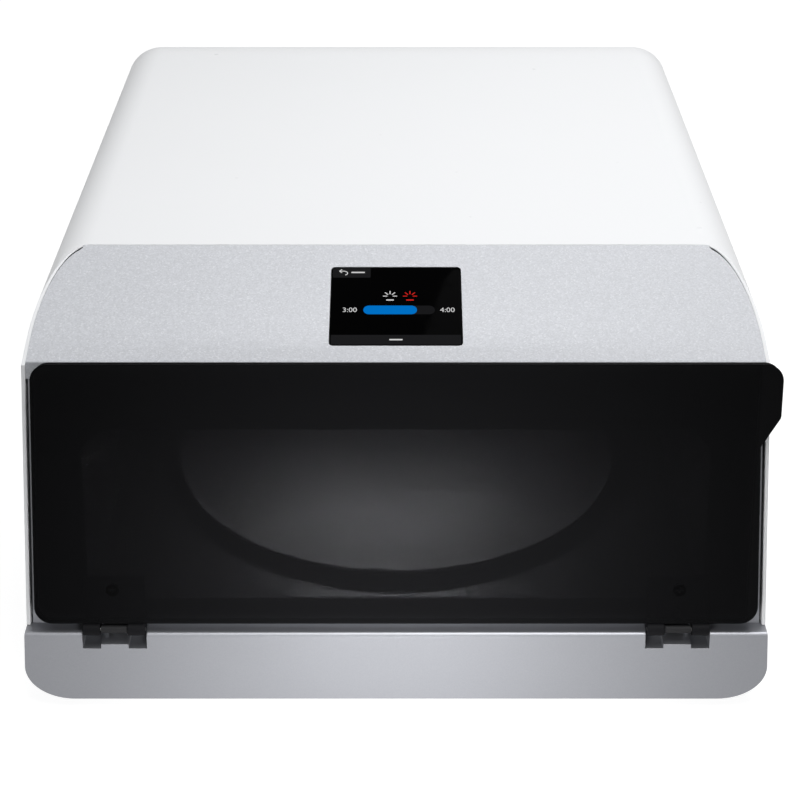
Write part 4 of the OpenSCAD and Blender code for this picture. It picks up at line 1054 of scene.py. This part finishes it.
class CURING_OT_door(bpy.types.Operator):
    """Smoked see-through door with its finger tab, leaves and screws"""
    bl_idname = "curing.door"
    bl_label = "Door"

    def execute(self, context):
        s = sizes()
        near, far = s.door_gap, s.door_gap + s.door_t
        door = slab(door_outline(), on_front, far, near, -s.door_edge, -0.0006)
        obj = piece("smoked_door", "door", "door_acrylic", door, "door_panel", sharp=40)
        obj.data.materials.append(material("door_edge", polished_edge))
        lean = Vector((0.0, -math.cos(s.lean), math.sin(s.lean)))
        for face in obj.data.polygons:
            face.material_index = int(abs(face.normal.dot(lean)) < 0.97)
        for node in ("left_door_leaf", "right_door_leaf"):
            softened(node, 0.0003)
        coat("leaf_screws", "sensor_magnet")
        return {"FINISHED"}


class CURING_OT_hinges(bpy.types.Operator):
    """Middle knuckles on the base, with their pins and screws"""
    bl_idname = "curing.hinges"
    bl_label = "Hinges"

    def execute(self, context):
        # the bracket's finish paints shade near black round the pin, under the door's lower edge
        finish = material("bracket_paint_with_shade", bracket_paint_with_shade)
        for node in ("left_hinge_bracket", "right_hinge_bracket"):
            softened(node, 0.0002).data.materials[0] = finish
        coat("hinge_pins", "bracket_screws")
        return {"FINISHED"}


# THE BASE

class CURING_OT_base(bpy.types.Operator):
    """Base tray with its ledge and hinge pockets, on rubber feet"""
    bl_idname = "curing.base"
    bl_label = "Base"

    def execute(self, context):
        softened("base_tray", 0.00025, 2, 35)
        self.feet()
        coat("foot_screws", "cover_screws")
        return {"FINISHED"}

    def feet(self):
        """Each foot is a profile turned about its axis: a cone with a rounded sole and a hollow
        for its screw."""
        s = sizes()
        low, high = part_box("rubber_feet")
        start = origin()
        r, bottom = s.foot_d / 2, s.foot_d / 2 - 0.001
        sole = [(bottom - 0.0012 + 0.0012 * math.sin(a), 0.0012 - 0.0012 * math.cos(a))
                for a in np.linspace(0, math.pi / 2, 6)]
        profile = [(0.0048, 0.0), *sole, (r - 0.0002, s.foot_h - 0.0003), (r - 0.0004, s.foot_h),
                   (0.0021, s.foot_h), (0.0021, s.foot_h / 2), (0.0045, s.foot_h / 2),
                   (0.0045, 0.0003)]
        places = [(x, y) for x in (low.x + r, high.x - r) for y in (low.y + r, high.y - r)]
        feet = [revolve(profile, np.array([x, y, low.z]) - start, steps=64) for x, y in places]
        piece("rubber_feet_turned", "casing", "rubber", joined(*feet), "rubber_feet")


# THE CHAMBER

class CURING_OT_chamber(bpy.types.Operator):
    """Chamber with its lamps and heat sinks"""
    bl_idname = "curing.chamber"
    bl_label = "Chamber and lamps"

    def execute(self, context):
        softened("chamber_liner", 0.0002, 1)
        coat("chamber_legs", "leg_screws", "lamp_frames", "top_lamp_window", "left_lamp_window",
             "right_lamp_window", "lamp_boards", "light_emitters", "top_heat_sink",
             "left_heat_sink", "right_heat_sink")
        return {"FINISHED"}


class CURING_OT_turntable(bpy.types.Operator):
    """Turntable with its hub, shaft, bush and gear motor"""
    bl_idname = "curing.turntable"
    bl_label = "Turntable"

    def execute(self, context):
        s = sizes()
        low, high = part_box("turntable_plate")
        centre = np.array([(low.x + high.x) / 2, (low.y + high.y) / 2, low.z]) - origin()
        r, t, rim = s.plate_d / 2, s.plate_t, s.plate_rim
        hole = 0.005
        profile = [(hole, 0.0003), (hole + 0.0003, 0.0), (r - 0.0056, 0.0), (r - 0.005, 0.0002),
                   (r - 0.0003, rim - 0.0002), (r, rim + 0.0004), (r, rim + t - 0.0003),
                   (r - 0.0003, rim + t), (r - 0.0012, rim + t), (r - 0.0015, rim + t - 0.0002),
                   (r - 0.0062, t + 0.0003), (r - 0.0070, t), (hole + 0.0003, t),
                   (hole, t - 0.0003)]
        piece("turned_turntable", "turntable", "plate_steel", revolve(profile, centre, steps=160),
              "turntable_plate", sharp=40)
        softened("turntable_hub", 0.0002, 2)
        coat("drive_shaft", "shaft_bush", "gear_motor", "motor_plate", "motor_screws")
        return {"FINISHED"}


class CURING_OT_power(bpy.types.Operator):
    """Power supply and main board in the base"""
    bl_idname = "curing.power"
    bl_label = "Power and control"

    def execute(self, context):
        coat("power_supply", "supply_screws", "main_board", "board_parts", "board_standoffs",
             "board_screws")
        return {"FINISHED"}


# THE BACK

class CURING_OT_back(bpy.types.Operator):
    """Rear panel with its screws, the mains inlet and the switch"""
    bl_idname = "curing.back"
    bl_label = "Rear panel"

    def execute(self, context):
        softened("rear_panel", 0.0002, 1)
        softened("mains_inlet", 0.0003)
        softened("switch_housing", 0.0003)
        softened("power_rocker", 0.0003)
        coat("rear_screws")
        return {"FINISHED"}


class CURING_OT_fans(bpy.types.Operator):
    """Two fans with frames, impellers and wire guards"""
    bl_idname = "curing.fans"
    bl_label = "Fans"

    def execute(self, context):
        for side, name in ((-1, "left"), (1, "right")):
            softened(f"{name}_fan_frame", 0.0004)
            self.impeller(side, name)
            self.guard(side, name)
        coat("fan_screws")
        return {"FINISHED"}

    def impeller(self, side, name):
        """Hub turned from a rounded profile. Each blade is a sheet over radius r and share c of
        its chord: it turns by a sweep that grows with r and by the chord's turn, with a camber
        of c (1 - c), while its height falls along the chord."""
        s = sizes()
        low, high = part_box(f"{name}_fan_impeller")
        start = origin()
        x, z = side * s.fan_x, s.fan_z
        y1 = high.y - start[1]
        y0 = y1 - 0.0184
        hub = s.fan_w * 0.21 - 0.0005
        edge = [(hub - 0.0015 + 0.0015 * math.sin(a), y1 - 0.0015 + 0.0015 * math.cos(a))
                for a in np.linspace(0, math.pi / 2, 6)]
        dish = [(0.0, y1 - 0.0006), (hub * 0.55, y1 - 0.0006), (hub * 0.62, y1)]
        pin = [(0.0, low.y - start[1]), (0.0015, low.y - start[1]), (0.0015, y0)]
        shape = revolve(dish + edge + [(hub, y0)] + pin[::-1], (x, 0, z), "y", 72)
        c, r = np.meshgrid(np.linspace(0, 1, 15),
                           np.linspace(hub - 0.001, s.fan_w / 2 - 0.0035, 11))
        grow = (r - hub) / (s.fan_w / 2 - hub)
        chord = np.radians(44 - 9 * grow)
        fall = 0.0152 - 0.003 * grow
        blades = []
        for i in range(s.blades):
            t = 2 * math.pi * i / s.blades + 0.55 * grow + chord * (c - 0.5)
            depth = y1 - 0.0016 - (0.0158 - fall) / 2 - fall * (c + 0.22 * c * (1 - c))
            thick = 0.0013 * (1 - (2 * c - 1) ** 4 * 0.6)
            faces = [np.stack([x + r * np.cos(t), depth + k * thick / 2, z + r * np.sin(t)], -1)
                     for k in (1, -1)]
            blades.append(loft(np.concatenate([faces[0], faces[1][:, ::-1]], 1)))
        piece(f"{name}_impeller", f"{name}_fan", "black_plastic", joined(shape, *blades),
              f"{name}_fan_impeller", sharp=40)

    def guard(self, side, name):
        """Rings and crossed wires: a wire's circle carried round each ring and along each bar,
        with an eyelet turned round each screw."""
        s = sizes()
        x, z, r = side * s.fan_x, s.fan_z, s.wire / 2
        y = rear_y() - 0.002 + r
        t = np.linspace(0, 2 * math.pi, 96, endpoint=False)
        parts = []
        for share in (0.25, 0.5, 0.75, 0.95):
            ring = s.fan_w / 2 * share - r
            parts.append(tube(np.stack([x + ring * np.cos(t), np.full(96, y), z + ring * np.sin(t)],
                                       -1), r, closed=True))
        hole = s.fan_w / 2 - 0.00425
        for a in (math.pi / 4, 3 * math.pi / 4):
            line = np.linspace(-1, 1, 9) * (hole * math.sqrt(2) - 0.0034)
            parts.append(tube(np.stack([x + line * math.cos(a), np.full(9, y),
                                        z + line * math.sin(a)], -1), r * 0.98))
        t = np.linspace(0, 2 * math.pi, 40, endpoint=False)
        for dx in (-hole, hole):
            for dz in (-hole, hole):
                parts.append(tube(np.stack([x + dx + 0.0034 * np.cos(t), np.full(40, y),
                                            z + dz + 0.0034 * np.sin(t)], -1), r, closed=True))
        piece(f"{name}_guard", "casing", "bright_steel", joined(*parts), f"{name}_fan_guard",
              sharp=60)


# THE STAGE

def lamp(name, place_at, aim, size, power, tone=(1.0, 1.0, 1.0), spread=180.0):
    """Rectangular lamp at a place, turned to its aim; size in metres, power in watts."""
    light = bpy.data.lights.new(name, "AREA")
    light.shape, light.size, light.size_y = "RECTANGLE", size[0], size[1]
    light.energy, light.color, light.spread = power, tone, math.radians(spread)
    holder = bpy.data.objects.new(name, light)
    bpy.context.scene.collection.objects.link(holder)
    holder.location = place_at
    holder.rotation_euler = (Vector(aim) - Vector(place_at)).to_track_quat("-Z", "Y").to_euler()
    return holder


def seen_directly(tree):
    """1 for the camera and for rays in gloss and glass, 0 for the light on the object."""
    path = {name: add_node(tree, "ShaderNodeLightPath", output=i)
            for i, name in ((0, "camera"), (3, "glossy"), (6, "transmission"))}
    return (path["camera"] + path["glossy"] + path["transmission"]).clamped()


class CURING_OT_stage(bpy.types.Operator):
    """Pale floor, soft studio light and the camera"""
    bl_idname = "curing.stage"
    bl_label = "Stage"

    def execute(self, context):
        self.camera(context.scene)
        self.floor()
        self.lights(context.scene)
        context.scene.view_settings.view_transform = "Standard"
        return {"FINISHED"}

    def camera(self, scene):
        """Above and in front of the unit, looking down on the console and the door."""
        lens = bpy.data.cameras.new("camera")
        lens.lens, lens.sensor_width = 79.8, 36.0
        holder = bpy.data.objects.new("camera", lens)
        scene.collection.objects.link(holder)
        holder.location = body_point(0.0022, -0.794, 0.638)
        holder.rotation_euler = (math.radians(60.42), 0.0, 0.0)
        scene.camera = holder

    def floor(self):
        mesh = bpy.data.meshes.new("floor")
        mesh.from_pydata([(-9, -9, 0), (9, -9, 0), (9, 9, 0), (-9, 9, 0)], [], [(0, 1, 2, 3)])
        mat = bpy.data.materials.new("floor_paper")
        mat.use_nodes = True
        tree = mat.node_tree
        tree.nodes.clear()
        paper = add_node(tree, "ShaderNodeBsdfDiffuse", Color=(0.3, 0.3, 0.3))
        glow = add_node(tree, "ShaderNodeEmission", Strength=seen_directly(tree) * 0.89)
        both = add_node(tree, "ShaderNodeAddShader", i0=paper, i1=glow)
        add_node(tree, "ShaderNodeOutputMaterial", Surface=both)
        mesh.materials.append(mat)
        floor = bpy.data.objects.new("floor", mesh)
        bpy.context.scene.collection.objects.link(floor)

    def lights(self, scene):
        world = bpy.data.worlds.new("studio")
        world.use_nodes = True
        scene.world = world
        tree = world.node_tree
        tree.nodes.clear()
        seen = seen_directly(tree)
        up = axis(add_node(tree, "ShaderNodeTexCoord", output=0), 2)
        room = add_node(tree, "ShaderNodeBackground", Color=(0.96, 0.98, 1.0),
                        Strength=grey(up, 0.05, 0.9).spread(0.04, 0.36))
        white = add_node(tree, "ShaderNodeBackground", Color=(1, 1, 1), Strength=1.0)
        add_node(tree, "ShaderNodeOutputWorld",
                 Surface=add_node(tree, "ShaderNodeMixShader", i0=seen, i1=room, i2=white))
        lamp("key", (0.27, -0.10, 1.35), aim=(0.02, 0.02, 0.1), size=(1.5, 0.6), power=14.0)
        for name, at, aim, size, power in (
                ("front", (-0.30, 0.06), (0.02, 0.03), (0.16, 0.08), 0.41),
                ("lintel", (-0.26, 0.16), (0.0, 0.12), (0.10, 0.06), 0.16)):
            soft = lamp(name, body_point(0.0, *at), aim=body_point(0.0, *aim), size=size,
                        power=power, spread=80.0)
            soft.visible_glossy = False
        low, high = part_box("top_lamp_window")
        middle = (low + high) / 2
        spot = (middle.x - 0.008, body_point(0, 0.090, 0)[1], low.z - 0.004)
        lamp("chamber lamp", spot, aim=(spot[0], spot[1] - 0.002, 0.0), size=(0.10, 0.03),
             power=1.12, tone=(0.96, 0.96, 1.0), spread=118.0)


class CURING_PT_panel(bpy.types.Panel):
    """Sizes, colours and pieces of the curing unit"""
    bl_idname = "CURING_PT_panel"
    bl_label = "Curing Unit"
    bl_space_type = "VIEW_3D"
    bl_region_type = "UI"
    bl_category = "Curing Unit"

    def draw(self, context):
        layout = self.layout
        for title, group in (("Sizes", sizes()), ("Colours", colours())):
            box = layout.box()
            box.label(text=title)
            for key in group.__annotations__:
                box.prop(group, key)
        box = layout.box()
        box.label(text="Pieces")
        for operator in OPERATORS:
            box.operator(operator.bl_idname)


OPERATORS = (
    CURING_OT_cover, CURING_OT_console, CURING_OT_display, CURING_OT_front, CURING_OT_door,
    CURING_OT_hinges, CURING_OT_base, CURING_OT_chamber, CURING_OT_turntable, CURING_OT_power,
    CURING_OT_back, CURING_OT_fans, CURING_OT_stage,
)
CLASSES = (CuringSizes, CuringColours, *OPERATORS, CURING_PT_panel)


def register():
    for cls in CLASSES:
        bpy.utils.register_class(cls)
    bpy.types.Scene.curing_sizes = PointerProperty(type=CuringSizes)
    bpy.types.Scene.curing_colours = PointerProperty(type=CuringColours)


def unregister():
    del bpy.types.Scene.curing_colours
    del bpy.types.Scene.curing_sizes
    for cls in reversed(CLASSES):
        bpy.utils.unregister_class(cls)


def main():
    register()
    for operator in OPERATORS:
        group, name = operator.bl_idname.split(".")
        if getattr(getattr(bpy.ops, group), name)() != {"FINISHED"}:
            raise RuntimeError(f"{operator.bl_label} wasn't built")
    bpy.context.view_layer.update()


if __name__ == "__main__":
    main()
